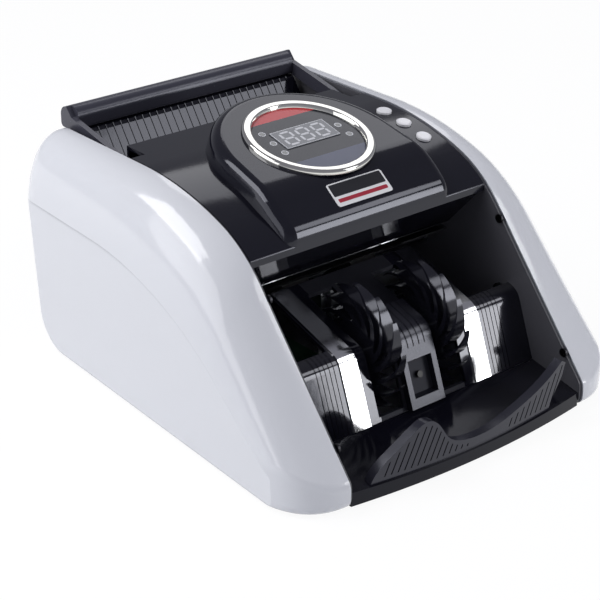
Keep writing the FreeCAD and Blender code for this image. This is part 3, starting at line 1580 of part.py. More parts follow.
def encoder():
    """The slotted disc on the transport shaft; returns the fork sensor that reads it."""
    body = doc.addObject("PartDesign::Body", "encoder_disc")
    sketch = sketch_on(body, "YZ_Plane", "disc_outline")
    add_circle(sketch, "0", "0", "encoder_radius")
    add_circle(sketch, "0", "0", "shaft_radius + fit_gap")
    pad(body, sketch, "encoder_wall")
    doc.recompute()
    slot = sketch_on(body, "YZ_Plane", "disc_slot")
    outer, side = "(encoder_radius - disc_rim)", "disc_slot_wide / 2"
    inner = f"({outer} - disc_slot_long)"
    add_polygon(slot, [(inner, f"-{side}"), (outer, f"-{side}"), (outer, side), (inner, side)])
    pocket = body.newObject("PartDesign::Pocket", "disc_slot_cut")
    pocket.Profile = slot
    pocket.Type = "ThroughAll"
    pocket.Midplane = True
    slot.Visibility = False
    ring = body.newObject("PartDesign::PolarPattern", "disc_slots")
    ring.Originals = [pocket]
    ring.Axis = (next(item for item in body.Origin.OriginFeatures if item.Role == "X_Axis"), [""])
    ring.Angle = 360
    bind(ring, Occurrences="encoder_slots")
    body.Tip = ring
    disc = f"({BELT_PLANE} + disc_rim)"
    keep(put(body, f"-{disc}", *SHAFTS["transport"]), "encoder_disc")
    y, z = SHAFTS["transport"]
    reach = f"({z} - encoder_radius - fork_tall / 2)"
    fork = box("fork_body", f"-({FRAME_FACE} + fork_wide)", f"{y} - fork_deep / 2", reach,
               "fork_wide", "fork_deep", "fork_tall")
    gap = box("fork_gap", f"-({disc} + (fork_gap - encoder_wall) / 2)", f"{y} - fork_deep",
              f"{reach} + fork_gap", "fork_gap", "2 * fork_deep", "fork_tall")
    return cut("encoder_fork", fork, [gap])


def electrical():
    """The transformer, the main board, the power inlet and the power switch."""
    core = middle_box("core", CORE_OFF, "core_back", PAN_FLOOR, "core_wide", "core_deep", "core_tall")
    coil = middle_box("coil", CORE_OFF, "core_back + (core_deep - coil_deep) / 2",
                      f"{PAN_FLOOR} + (core_tall - coil_tall) / 2", "(core_wide + 2 * coil_over)",
                      "coil_deep", "coil_tall")
    keep(fused("transformer", [core, coil]), "transformer")
    main_board()
    power_inlet()
    power_switch()


def main_board():
    """The main circuit board on its standoffs, with the largest of its components."""
    level = f"({PAN_FLOOR} + board_rise)"
    pieces = [box("circuit_board", BOARD_EDGE, "0", level, "board_wide", "board_deep", "board_wall")]
    chips = [
        (0.11, 0.1, 24, 24, 3), (0.45, 0.12, 12, 30, 4), (0.66, 0.5, 16, 16, 14), (0.13, 0.58, 20, 12, 10),
        (0.42, 0.65, 14, 14, 18),
    ]
    for index, (along, back, *size) in enumerate(chips):
        pieces.append(box(f"chip_{index}", f"{BOARD_EDGE} + {along} * board_wide", f"{back} * board_deep",
                          f"{level} + board_wall", *map(str, size)))
    near, far = "standoff_margin", "(board_deep - standoff_margin)"
    for x in (f"{BOARD_EDGE} + standoff_margin", f"{BOARD_EDGE} + board_wide - standoff_margin"):
        for y in (near, far):
            pieces.append(post(f"standoff_{len(pieces)}", x, y, PAN_FLOOR, "standoff_radius", "board_rise"))
    keep(fused("main_board", pieces), "main_board")


def power_inlet():
    """The mains inlet in the rear cover: a flanged shell with a deep recess and three pins."""
    x, z = "inlet_off", "inlet_height"
    wide, tall = "(socket_wide - 2 * recess_wall)", "(socket_tall - 2 * recess_wall)"
    shell = fused("inlet_solid", [
        middle_box("inlet_body", x, "rear_face - socket_deep", f"{z} - socket_tall / 2", "socket_wide",
                   "socket_deep", "socket_tall"),
        middle_box("inlet_flange", x, "rear_face", f"{z} - socket_flange_tall / 2", "socket_flange_wide",
                   "socket_flange", "socket_flange_tall"),
    ])
    floor = "rear_face - socket_deep + recess_floor"
    recess = middle_box("inlet_recess", x, floor, f"{z} - {tall} / 2", wide, "2 * socket_deep", tall)
    pins = []
    for step in (-1, 0, 1):
        pins.append(middle_box(f"inlet_pin_{step + 1}", f"{x} + {step} * pin_pitch", f"{floor} - recess_wall",
                               f"{z} - recess_wall", "recess_wall", "pin_long", "2 * recess_wall"))
    keep(fused("power_inlet", [cut("inlet_hollow", shell, [recess])] + pins), "power_inlet")


def power_switch():
    """The power switch: a flanged frame in the rear cover, and the rocker on its axle."""
    x, z = "switch_off", "inlet_height"
    wide, tall = "(switch_wide - 2 * switch_rim)", "(socket_tall - 2 * switch_rim)"
    axle_half = "((switch_wide - switch_rim) / 2 - seat_gap)"
    shell = [
        middle_box("switch_body", x, "rear_face - switch_deep", f"{z} - socket_tall / 2", "switch_wide",
                   "switch_deep", "socket_tall"),
        middle_box("switch_flange", x, "rear_face", f"{z} - socket_flange_tall / 2", "switch_flange_wide",
                   "switch_flange", "socket_flange_tall"),
    ]
    tools = [
        middle_box("switch_well", x, "rear_face - switch_deep + switch_floor", f"{z} - {tall} / 2", wide,
                   "2 * switch_deep", tall),
        rod("switch_axle_hole", f"{x} - {axle_half} - seat_gap / 2", "rear_face - rocker_back", z,
            "rocker_axle + fit_gap", f"2 * {axle_half} + seat_gap"),
    ]
    keep(cut("switch_frame", fused("switch_solid", shell), tools), "switch_frame")
    edge = "rocker_axle"
    paddle = slab("rocker_paddle", "YZ_Plane", [
        ("-rocker_back", "-2 * rocker_axle"), (edge, "-rocker_tall"), ("rocker_nose", "-rocker_tall"),
        ("rocker_nose - rocker_axle / 2", "0"), ("rocker_nose", "rocker_tall"), (edge, "rocker_tall"),
        ("-rocker_back", "2 * rocker_axle"),
    ], f"{wide} - 2 * seat_gap", middle=True)
    axle = rod("rocker_axle", f"-{axle_half}", "0", "0", "rocker_axle", f"2 * {axle_half}")
    rocker = keep(fused("power_rocker", [paddle, axle]), "power_rocker")
    rocker.Placement.Rotation = FreeCAD.Rotation(Vec(1, 0, 0), -num("rocker_tilt"))
    put(rocker, x, "rear_face - rocker_back", z)


def case_screws():
    """Pan-head screws with cross recesses, on the cheeks and the rear cover."""
    heads = []
    long, wide, depth = "recess_long", "recess_wide", "recess_depth"
    for index, (y, z) in enumerate(CHEEK_SCREWS):
        for side, start, face in (("left", f"-{CHEEK_FACE}", f"screw_head - {CHEEK_FACE} - {depth}"),
                                  ("right", f"{CHEEK_FACE} - screw_head", f"{CHEEK_FACE} - screw_head")):
            name = f"{side}_screw_{index}"
            head = rod(name, start, y, z, "screw_radius", "screw_head")
            cross = [box(f"{name}_{deep}", face, f"{y} - {deep} / 2", f"{z} - {tall} / 2", depth, deep, tall)
                     for deep, tall in ((long, wide), (wide, long))]
            heads.append(cut(f"{name}_head", head, cross))
    side = f"({CHEEK_FACE} - screw_margin)"
    places = [(x, z) for z in ("screw_low", "screw_high") for x in (f"-{side}", side)]
    for index, (x, z) in enumerate(places):
        name = f"rear_screw_{index}"
        head = peg(name, x, "rear_face", z, "screw_radius", "screw_head")
        face = f"rear_face + screw_head - {depth}"
        cross = [middle_box(f"{name}_{width}", x, face, f"{z} - {tall} / 2", width, depth, tall)
                 for width, tall in ((long, wide), (wide, long))]
        heads.append(cut(f"{name}_head", head, cross))
    group(heads, "case_screws")


def build():
    """Make every sub-part."""
    for make in (
        side_covers, cheeks_and_frame, tie_rods, shaft_bearings, base, note_tray, note_fence, top_cover,
        bezel_ring, display, buttons, adjuster_knob, carry_handle, hopper_and_rear, throat_panel,
        guide_plates, retard, stacker_plate, sensor_block, optical_sensors, shafts_and_rollers,
        stacker_wheels, belts, motor, electrical, case_screws,
    ):
        make()


def check_and_write():
    """Refuse a failed object or an empty or broken shape, then write each sub-part."""
    doc.recompute()
    for item in doc.Objects:
        if "Invalid" in item.State or "Error" in item.State:
            raise RuntimeError(f"{item.Name} failed: {item.State}")
    os.makedirs("parts", exist_ok=True)
    for piece in kept:
        if piece.Shape.isNull() or not piece.Shape.isValid() or not piece.Shape.Solids:
            raise RuntimeError(f"{piece.Label} has no sound solid")
    for piece in kept:
        piece.Shape.exportStep(f"parts/{piece.Label}.step")
        print(piece.Label, len(piece.Shape.Solids), "solids", round(piece.Shape.Volume), "mm3")


build()
check_and_write()
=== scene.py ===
# %% [markdown]
# # A banknote counter, dressed for a photograph
# The solids of the counter are already packed: every cover, roller, finger wheel and screw is there, in
# metres. This lesson gives each of them a finish, adds the thin things that a mould doesn't make, such as
# the digits and the sticker, turns the chrome ring once more with rounder edges, and sets up the studio.
# Nothing here moves a solid, because the frame fixes its place.

# %% Load the packed counter
import math

import bmesh
import bpy
from mathutils import Matrix, Vector


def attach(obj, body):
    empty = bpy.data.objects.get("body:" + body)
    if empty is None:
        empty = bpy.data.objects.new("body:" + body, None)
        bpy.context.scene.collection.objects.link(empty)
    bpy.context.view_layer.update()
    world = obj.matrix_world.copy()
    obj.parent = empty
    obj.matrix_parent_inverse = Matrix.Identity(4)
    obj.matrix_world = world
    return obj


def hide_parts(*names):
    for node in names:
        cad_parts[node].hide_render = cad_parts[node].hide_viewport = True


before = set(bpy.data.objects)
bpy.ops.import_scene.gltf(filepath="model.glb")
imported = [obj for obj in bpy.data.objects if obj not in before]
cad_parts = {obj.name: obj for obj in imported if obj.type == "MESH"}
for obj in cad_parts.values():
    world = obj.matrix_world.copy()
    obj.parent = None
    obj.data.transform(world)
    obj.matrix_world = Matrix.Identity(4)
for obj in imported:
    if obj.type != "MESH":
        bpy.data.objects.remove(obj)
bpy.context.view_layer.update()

# %% [markdown]
# ## The camera
# The photograph was taken from the front left, from a little above. The camera's place was solved from the
# straight edges of the machine, so it is simply put there. A long lens keeps the edges nearly parallel.

# %% Stand the camera where the photograph was taken
CAMERA_AT = (-0.71463, -0.84776, 0.58559)
CAMERA_TURN = math.radians(-39.518)
CAMERA_RISE = math.radians(25.647)
lens = bpy.data.cameras.new("camera")
lens.sensor_width = 36
lens.lens = 110.605
lens.clip_end = 20
camera = bpy.data.objects.new("camera", lens)
camera.location = CAMERA_AT
camera.rotation_euler = (math.pi / 2 - CAMERA_RISE, 0, CAMERA_TURN)
bpy.context.scene.collection.objects.link(camera)
bpy.context.scene.camera = camera
print("camera distance:", round(camera.location.length, 3))

# %% [markdown]
# ## A small language for finishes
# A finish is a tree of shader nodes. Written out node by node it is hard to read, so a value in the tree
# is wrapped in a small class: adding or multiplying two of them adds a Math node. Every other kind of node
# comes from one method, which takes its type, its settings and its sockets.

# %% Values that can be added and multiplied
class Flow:
    """A value on its way through a finish. Arithmetic on it adds Math nodes."""

    def __init__(self, finish, socket):
        self.finish = finish
        self.socket = socket

    def reckon(self, operation, first, second):
        return self.finish.node("ShaderNodeMath", {"operation": operation}, {0: first, 1: second})

    def __add__(self, other):
        return self.reckon("ADD", self, other)

    def __radd__(self, other):
        return self.reckon("ADD", other, self)

    def __sub__(self, other):
        return self.reckon("SUBTRACT", self, other)

    def __rsub__(self, other):
        return self.reckon("SUBTRACT", other, self)

    def __mul__(self, other):
        return self.reckon("MULTIPLY", self, other)

    def __rmul__(self, other):
        return self.reckon("MULTIPLY", other, self)

    def __truediv__(self, other):
        return self.reckon("DIVIDE", self, other)

    def __rtruediv__(self, other):
        return self.reckon("DIVIDE", other, self)

    def __gt__(self, other):
        return self.reckon("GREATER_THAN", self, other)

    def __lt__(self, other):
        return self.reckon("LESS_THAN", self, other)


print("a value:", Flow.__doc__)

# %% A finish and its one way to add a node
class Finish:
    """A material, or the room's world, in the making. Keywords set what is the same all over."""

    def __init__(self, name, kind="materials", shader="Principled BSDF", **same_all_over):
        self.material = getattr(bpy.data, kind).new(name)
        self.material.use_nodes = True
        self.tree = self.material.node_tree
        self.shader = self.tree.nodes[shader]
        for key, value in same_all_over.items():
            self.shader.inputs[key.replace("_", " ")].default_value = value

    def node(self, kind, settings, sockets, out=0):
        """Any node: its type, its settings, then the values or links of its sockets."""
        made = self.tree.nodes.new(kind)
        for key, value in settings.items():
            if key == "stops":
                ramp = made.color_ramp.elements
                for index, (place, colour) in enumerate(value):
                    ramp[index].position = place
                    ramp[index].color = colour
            else:
                setattr(made, key, value)
        for key, value in sockets.items():
            if isinstance(value, Flow):
                self.tree.links.new(value.socket, made.inputs[key])
            else:
                made.inputs[key].default_value = value
        return Flow(self, made.outputs[out])

    def feed(self, socket, value):
        """Let a value drive one of the shader's sockets."""
        self.tree.links.new(value.socket, self.shader.inputs[socket])
        return self

    def place(self, middle=None, turn=(0, 0, 0), stretch=None):
        """The piece's own coordinates in metres, seen from a turned middle, or stretched."""
        spot = self.node("ShaderNodeTexCoord", {}, {}, out="Object")
        if middle:
            spot = self.node("ShaderNodeMapping", {"vector_type": "TEXTURE"},
                             {"Vector": spot, "Location": middle, "Rotation": turn})
        if stretch:
            spot = self.node("ShaderNodeMapping", {"vector_type": "POINT"},
                             {"Vector": spot, "Scale": stretch})
        return spot

    def axis(self, spot, name):
        """One coordinate of a place: X, Y or Z."""
        return self.node("ShaderNodeSeparateXYZ", {}, {"Vector": spot}, out=name)

    def noise(self, spot, scale, detail=2.0, rough=0.5):
        """A noise from 0 to 1 that changes about as often in a metre as its scale says."""
        sockets = {"Vector": spot, "Scale": scale, "Detail": detail, "Roughness": rough}
        return self.node("ShaderNodeTexNoise", {}, sockets)

    def tint(self, share, under, over):
        """A mix of two colours. A Mix node has sockets for each kind of data, so these go by number."""
        return self.node("ShaderNodeMix", {"data_type": "RGBA"}, {0: share, 6: under, 7: over}, out=2)

    def relief(self, height, depth, strength=1.0):
        """A bump as high as the depth where the height is 1."""
        bump = self.node("ShaderNodeBump", {}, {"Strength": strength, "Distance": depth, "Height": height})
        return self.feed("Normal", bump)


# %% Colours as a picture editor gives them
def shade(red, green, blue):
    """A colour from 0 to 255, turned into light by the usual curve of screens."""
    parts = [part / 255 for part in (red, green, blue)]
    light = [((part + 0.055) / 1.055) ** 2.4 if part > 0.04045 else part / 12.92 for part in parts]
    return (*light, 1.0)


def toned(colour, times, more=0.0):
    """A lighter or darker tone of a colour."""
    return (*[min(1.0, part * times + more) for part in colour[:3]], 1.0)


WHITE = (1.0, 1.0, 1.0, 1.0)
COVER_WHITE = shade(227, 229, 235)
BLACK = shade(16, 16, 25)
print("white of the covers as light:", [round(part, 3) for part in COVER_WHITE])

# %% [markdown]
# ## Moulded plastic
# Most of the machine is injection-moulded ABS. A polished mould gives a skin like glass with a very low
# swell in it, called orange peel; a spark-eroded mould leaves an even grain. Both drift a little in gloss
# where fingers and dust have been. So one recipe makes all the plastics, from a swell, a grain and a slow
# drift. Three things differ from piece to piece. The polished blacks mirror a little blue, so their mirror
# has a cold tint. The tray mirrors less than the panel. On the white covers the step on the flank gets a
# grey line of painted shade: an occlusion node, which tells how open the sky is over a point, darkens the
# colour in such creases, where shade would fall.

# %% One recipe for every plastic
COLD = (0.86, 0.88, 1.0, 1.0)
# Clouds, specks, peel and pits say how often their noise changes in a metre.
CLOUDS = 14
CLOUD_SHARE = 0.35
DRIFT = 0.05
SPECKS = 900
SPECK_FROM = 0.69
DUST_SHARE = 0.5
DUST_DULLS = 0.12
PEEL = 190
PITS = 2000
# How far the occlusion node looks for a crease, and how strongly it darkens the colour there as painted
# shade.
CREASE_REACH = 0.003
CREASE_SHADE_SHARE = 2.2
PALING = 0.002


def moulded(name, colour, gloss, swell, grain, coat=0.0, lift=1.25, sheen=WHITE, mirror=0.5, crease_shade=None):
    """A plastic of one colour: gloss is its roughness, swell and grain are heights of relief in metres."""
    finish = Finish(name, Coat_Weight=coat, Coat_Roughness=0.04, Specular_Tint=sheen,
                    Specular_IOR_Level=mirror)
    spot = finish.place()
    cloud = finish.noise(spot, CLOUDS, 3)
    dust = (finish.noise(spot, SPECKS, 2, 0.7) > SPECK_FROM) * cloud
    skin = finish.tint(cloud * CLOUD_SHARE + dust * DUST_SHARE, colour, toned(colour, lift, PALING))
    # Painted shade: where the occlusion node finds little open sky, the colour is darkened towards the crease
    # colour.
    if crease_shade:
        reach = {"Distance": CREASE_REACH}
        open_sky = finish.node("ShaderNodeAmbientOcclusion", {"samples": 8}, reach, out="AO")
        skin = finish.tint((1 - open_sky) * CREASE_SHADE_SHARE, skin, crease_shade)
    finish.feed("Base Color", skin)
    finish.feed("Roughness", gloss + (cloud - 0.5) * DRIFT + dust * DUST_DULLS)
    peel = finish.noise(spot, PEEL, 1) * swell
    pits = finish.noise(spot, PITS, 2, 0.6) * grain
    depth = max(swell, grain)
    return finish.relief((peel + pits) / depth, depth)


# %% Mix the plastics
cheek = moulded("cheek_plastic", shade(78, 78, 84), 0.4, swell=1e-5, grain=1.6e-5)
plastics = {
    # The covers' crease colour is painted shade along the step on the flank.
    "cover_white": moulded("white_cover_plastic", COVER_WHITE, 0.16, swell=2.5e-5, grain=1.5e-6, coat=0.5,
                           lift=1.03, crease_shade=shade(104, 107, 117)),
    "black_gloss": moulded("polished_black_plastic", BLACK, 0.1, swell=1.6e-5, grain=8e-7, sheen=COLD),
    "black_matte": moulded("grained_black_plastic", shade(24, 24, 30), 0.36, swell=1e-5, grain=2.2e-5),
    "wheel": moulded("finger_wheel_plastic", shade(22, 22, 30), 0.16, swell=1.2e-5, grain=1e-6, sheen=COLD),
    "button_white": moulded("button_plastic", shade(243, 243, 247), 0.22, swell=6e-6, grain=1.2e-6, coat=0.3,
                            lift=1.03),
    "rocker": moulded("switch_plastic", shade(22, 22, 24), 0.2, swell=6e-6, grain=3e-6, coat=0.2),
    "sensor": moulded("sensor_epoxy", shade(14, 14, 22), 0.4, swell=5e-6, grain=1e-6),
    "sensor_block": moulded("sensor_housing_plastic", shade(28, 28, 36), 0.22, swell=8e-6, grain=6e-6,
                            sheen=COLD),
    "carry_handle": moulded("satin_handle_plastic", shade(60, 60, 70), 0.26, swell=1e-5, grain=8e-6,
                            sheen=COLD),
    "note_fence": moulded("satin_fence_plastic", shade(34, 34, 43), 0.2, swell=1.2e-5, grain=3e-6,
                          sheen=COLD),
    "note_tray": moulded("tray_plastic", BLACK, 0.1, swell=1.6e-5, grain=8e-7, sheen=COLD, mirror=0.2),
    "left_cheek": cheek,
    "right_cheek": cheek,
}
print("plastics:", sorted(plastics))

# %% [markdown]
# ### The plate behind the finger wheels
# The plate that guides the notes is polished on its two wings, where paper slides, and left matte between
# the wheels, so that stray light doesn't reach the sensor. It is one moulding, so the change belongs to
# its finish: the distance from the middle, read from the piece's own coordinates, turns the gloss down.

# %% Polish the wings and leave the middle matte
MATTE_HALF = 0.036


def guided_plate():
    """Black plastic, polished beyond the finger wheels and matte between them."""
    finish = Finish("polished_wing_plastic", Specular_Tint=COLD, Coat_Roughness=0.05)
    spot = finish.place()
    across = finish.axis(spot, "X")
    middle = (across > -MATTE_HALF) * (across < MATTE_HALF)
    cloud = finish.noise(spot, CLOUDS, 3)
    finish.feed("Base Color", finish.tint(cloud * 0.4, BLACK, toned(BLACK, 1.3, PALING)))
    finish.feed("Roughness", 0.1 + middle * 0.5 + (cloud - 0.5) * DRIFT)
    finish.feed("Coat Weight", (1 - middle) * 0.4)
    return finish.relief(finish.noise(spot, PEEL, 1), 1.6e-5)


plastics["stacker_plate"] = guided_plate()
print("plate:", plastics["stacker_plate"].material.name)

# %% [markdown]
# ## Metals
# The chassis plates are zinc-plated steel with a faint crystal pattern, the shafts are turned and ground,
# and the two guide strips are polished along their length. A brushed look is noise that is stretched in
# one direction: the stretch follows the tool that made the surface.

# %% Brushed, turned and plated metals
CRYSTALS = 210.0


def brushed(name, colour, gloss, stretch, lines=0.12, depth=4e-6, drift=DRIFT):
    """A bare metal with fine tool lines: the stretch says how often they repeat in a metre on each axis."""
    finish = Finish(name, Metallic=1.0)
    cloud = finish.noise(finish.place(), 30, 3)
    fine = finish.noise(finish.place(stretch=stretch), 1, 3, 0.6)
    finish.feed("Base Color", finish.tint(fine * 0.6 + cloud * 0.3, toned(colour, 0.8), colour))
    finish.feed("Roughness", gloss + (fine - 0.5) * lines + (cloud - 0.5) * drift)
    return finish.relief(fine, depth, 0.6)


def plated(name, colour, gloss):
    """Zinc plate: crystals a few millimetres across, each with a brightness of its own."""
    finish = Finish(name, Metallic=0.9)
    spot = finish.place()
    sockets = {"Vector": spot, "Scale": CRYSTALS}
    crystal = finish.node("ShaderNodeTexVoronoi", {"feature": "F1"}, sockets, out="Color")
    patch = finish.axis(crystal, "X")
    cloud = finish.noise(spot, 40, 3)
    finish.feed("Base Color", finish.tint(patch * 0.5 + cloud * 0.4, toned(colour, 0.7), colour))
    finish.feed("Roughness", gloss + (patch - 0.5) * 0.12 + (cloud - 0.5) * 0.1)
    return finish.relief(cloud + patch * 0.3, 4e-6)


metals = {
    "case_screws": brushed("blackened_screw", shade(58, 58, 62), 0.3, (900, 900, 900), depth=3e-6),
    "zinc": plated("zinc_plate", shade(176, 180, 186), 0.34),
    "steel": brushed("ground_steel", shade(196, 198, 202), 0.2, (2600, 120, 120)),
    "chrome": brushed("chromed_ring", shade(236, 235, 230), 0.05, (160, 160, 160), lines=0.03, depth=1e-6,
                      drift=0.03),
    "polished_strip": brushed("polished_strip", shade(232, 233, 236), 0.12, (4200, 60, 60), lines=0.08,
                              depth=2e-6),
}
print("metals:", sorted(metals))

# %% [markdown]
# ## Rubber, pulleys and boards
# The rollers and belts are rubber, ground rough so that they grip a note. The pulleys are a grey
# engineering plastic. The circuit boards carry copper tracks under a green lacquer, which a brick pattern
# stands for well: its thin mortar lines become the gaps between the tracks.

# %% The working materials inside
NAP = 1700
TRACKS = 120.0
SHEETS = 2000


def rubbery(name, colour):
    """Ground rubber: a fine nap and a dusty bloom."""
    finish = Finish(name)
    spot = finish.place()
    nap = finish.noise(spot, NAP, 3, 0.7)
    bloom = finish.noise(spot, 70, 4)
    finish.feed("Base Color", finish.tint(bloom * bloom * 0.7, colour, toned(colour, 1.9, 0.01)))
    finish.feed("Roughness", 0.62 + (nap - 0.5) * 0.3)
    return finish.relief(nap, 4e-5)


def lacquered_board(name):
    """A circuit board: copper tracks show paler through the green lacquer than the gaps between them."""
    finish = Finish(name, Coat_Weight=0.4)
    spot = finish.place()
    sockets = {"Vector": spot, "Scale": TRACKS, "Mortar Size": 0.06, "Brick Width": 1.4, "Row Height": 0.22}
    gap = finish.node("ShaderNodeTexBrick", {"offset": 0.35}, sockets, out="Fac")
    cloud = finish.noise(spot, 60, 3)
    finish.feed("Base Color", finish.tint(gap * 0.6 + cloud * 0.3, shade(30, 92, 56), shade(14, 58, 34)))
    finish.feed("Roughness", 0.3 + cloud * 0.15)
    return finish.relief(1 - gap, 2e-5)


def layered_core(name):
    """The transformer: a stack of thin iron sheets, seen as fine lines with stains over them."""
    finish = Finish(name, Metallic=0.4)
    spot = finish.place()
    along = finish.axis(spot, "Y") * SHEETS
    sheet = finish.node("ShaderNodeMath", {"operation": "PINGPONG"}, {0: along, 1: 1.0})
    stain = finish.noise(spot, 90, 4)
    iron = finish.tint(sheet * 0.5 + stain * 0.5, shade(58, 46, 38), shade(150, 138, 122))
    finish.feed("Base Color", iron)
    finish.feed("Roughness", 0.4 + stain * 0.25)
    return finish.relief(sheet, 3e-5)


working = {
    "rubber": rubbery("ground_rubber", shade(34, 34, 36)),
    "pulley": moulded("pulley_plastic", shade(186, 184, 176), 0.4, swell=8e-6, grain=9e-6, lift=1.1),
    "board": lacquered_board("green_board"),
    "core": layered_core("iron_core"),
}
print("working materials:", sorted(working))

# %% [markdown]
# ## The printed face of the display
# Under the chrome ring lies a round smoked face with two printed segments: a red one at the back and a
# blue-grey one at the front, each cut off by a straight edge. They are printed, so they belong to the
# finish and not to the shape. A mapping turns the piece's coordinates into the face's own plane, and a
# comparison makes each edge.

# %% Print the face
DOME_TILT = math.radians(13.3)
FACE_MIDDLE = (0, 0.0099, 0.1653)
FACE_LEVEL = 0.0006
WINDOW_TOP = 0.0012
RED_FROM = 0.0262
BLUE_UP_TO = -0.0205


def printed_face():
    """The smoked face with its red segment behind and its blue-grey segment in front."""
    finish = Finish("printed_face", Specular_Tint=COLD)
    spot = finish.place(middle=FACE_MIDDLE, turn=(DOME_TILT, 0, 0))
    along = finish.axis(spot, "Y")
    cloud = finish.noise(spot, 60, 3)
    smoked = finish.tint(cloud * 0.4, shade(26, 27, 32), shade(32, 33, 38))
    with_red = finish.tint(along > RED_FROM, smoked, shade(190, 54, 56))
    finish.feed("Base Color", finish.tint(along < BLUE_UP_TO, with_red, shade(68, 73, 95)))
    finish.feed("Roughness", 0.16 + cloud * 0.08)
    return finish.relief(finish.noise(spot, 400, 2), 3e-6)


prints = {
    "display_dark": printed_face(),
    "window": moulded("smoked_window", shade(104, 107, 115), 0.1, swell=4e-6, grain=6e-7, lift=1.08),
    "lamp": moulded("clear_lamp", shade(84, 88, 92), 0.12, swell=4e-6, grain=1e-6, coat=0.6),
}
print("prints:", sorted(prints))

# %% [markdown]
# ## Dress the solids
# Each solid already names the kind of finish it takes, and that name came along with the packed model. So
# dressing them is one loop: the finish takes the place of the plain material in the solid's own slot. A
# few solids, such as the tray, have a finish under their own name, and that one goes first.

# %% Give each solid its finish
finishes = {**plastics, **metals, **working, **prints}
for name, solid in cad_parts.items():
    for slot in solid.material_slots:
        kind = slot.material.name.split(".")[0]
        slot.material = finishes[name if name in finishes else kind].material
print("dressed:", len(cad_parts), "solids in", len(finishes), "finishes")

# %% [markdown]
# ## Thin pieces that are printed or stuck on
# The digits, the lamp rims and the sticker are only a fraction of a millimetre thick. A rectangle starts
# as a flat grid and gets its corners rounded by a bevel. A ring starts as a short edge that is spun once
# round, and the spin is merged where it closes. Both are then pulled up to their thickness. They are made
# flat first and then turned into the plane they lie on, and the turn goes into the mesh, so that the
# object stays at the origin.

# %% Tools for flat pieces
CORNER_STEPS = 5
RIM_STEPS = 32
UP = (0, 0, 1)


def on_face(level):
    """The plane of the display, a level above the dome's flat."""
    turn = Matrix.Rotation(DOME_TILT, 4, "X")
    return Matrix.Translation(FACE_MIDDLE) @ turn @ Matrix.Translation((0, 0, level))


def pull_up(mesh, faces, thick):
    """Give flat faces their thickness."""
    raised = bmesh.ops.extrude_face_region(mesh, geom=faces)["geom"]
    tops = [item for item in raised if isinstance(item, bmesh.types.BMVert)]
    bmesh.ops.translate(mesh, vec=(0, 0, thick), verts=tops)


def add_plate(mesh, middle, long, wide, corner, thick):
    """A thin rectangle with rounded corners, added to a mesh that is being made."""
    spread = Matrix.Translation((*middle, 0)) @ Matrix.Diagonal((long, wide, 1, 1))
    flat = bmesh.ops.create_grid(mesh, x_segments=1, y_segments=1, size=0.5, matrix=spread)["verts"]
    if corner:
        bmesh.ops.bevel(mesh, geom=flat, offset=corner, segments=CORNER_STEPS, profile=0.5, affect="VERTICES",
                        material=-1)
    pull_up(mesh, mesh.faces[:][-1:], thick)


def add_rings(mesh, middles, inside, outside, thick):
    """Thin flat rings round some middles, added to a mesh that holds nothing else."""
    for x, y in middles:
        ends = [mesh.verts.new((x + radius, y, 0)) for radius in (inside, outside)]
        edge = mesh.edges.new(ends)
        bmesh.ops.spin(mesh, geom=[*ends, edge], cent=(x, y, 0), axis=UP, angle=2 * math.pi, steps=RIM_STEPS,
                       use_merge=True)
    pull_up(mesh, mesh.faces[:], thick)


print("middle of the face:", [round(part, 4) for part in on_face(FACE_LEVEL).translation])

# %% Put a finished mesh into the scene
def finish_piece(name, mesh, place, finish, body, round_from=None):
    """Turn a mesh that is being made into a piece in its place, with its finish, riding on a body."""
    bmesh.ops.transform(mesh, matrix=place, verts=mesh.verts[:])
    bmesh.ops.recalc_face_normals(mesh, faces=mesh.faces[:])
    made = bpy.data.meshes.new(name)
    mesh.to_mesh(made)
    mesh.free()
    piece = bpy.data.objects.new(name, made)
    bpy.context.scene.collection.objects.link(piece)
    made.materials.append(finish.material)
    if round_from:
        made.shade_smooth()
        made.set_sharp_from_angle(angle=round_from)
    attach(piece, body)
    print(name, len(made.polygons), "faces")
    return piece


# %% [markdown]
# ### Three digits and the window's rim
# A seven-segment digit is seven bars in the shape of an eight, leaning a little to the right. The display
# is off, so its bars are a pale grey that gives no light. A bar is one rounded plate, and a loop sets down
# seven of them for each digit.

# %% Set out the digits
pale_print = moulded("pale_print", shade(206, 208, 214), 0.3, swell=3e-6, grain=2e-6, lift=1.05)
unlit_bar = moulded("unlit_bar", shade(204, 206, 212), 0.3, swell=3e-6, grain=2e-6, lift=1.05)
DIGIT_TALL = 0.0138
DIGIT_WIDE = 0.0082
DIGIT_PITCH = 0.0128
DIGIT_LEAN = 0.08
BAR = 0.0018
BAR_TALL = DIGIT_TALL / 2 - BAR * 0.9
BAR_CORNER = BAR * 0.45
BAR_THICK = 0.00006
WINDOW_OFF = 0.004
digits = bmesh.new()
half = DIGIT_TALL / 2
for column in (-1, 0, 1):
    for rise in (-half, 0, half):
        middle = (column * DIGIT_PITCH + DIGIT_LEAN * rise, WINDOW_OFF + rise)
        add_plate(digits, middle, DIGIT_WIDE - BAR, BAR, BAR_CORNER, BAR_THICK)
    for side in (-1, 1):
        for rise in (-half / 2, half / 2):
            across = column * DIGIT_PITCH + side * DIGIT_WIDE / 2 + DIGIT_LEAN * rise
            add_plate(digits, (across, WINDOW_OFF + rise), BAR, BAR_TALL, BAR_CORNER, BAR_THICK)
finish_piece("display_digits", digits, on_face(WINDOW_TOP), unlit_bar, "chassis")

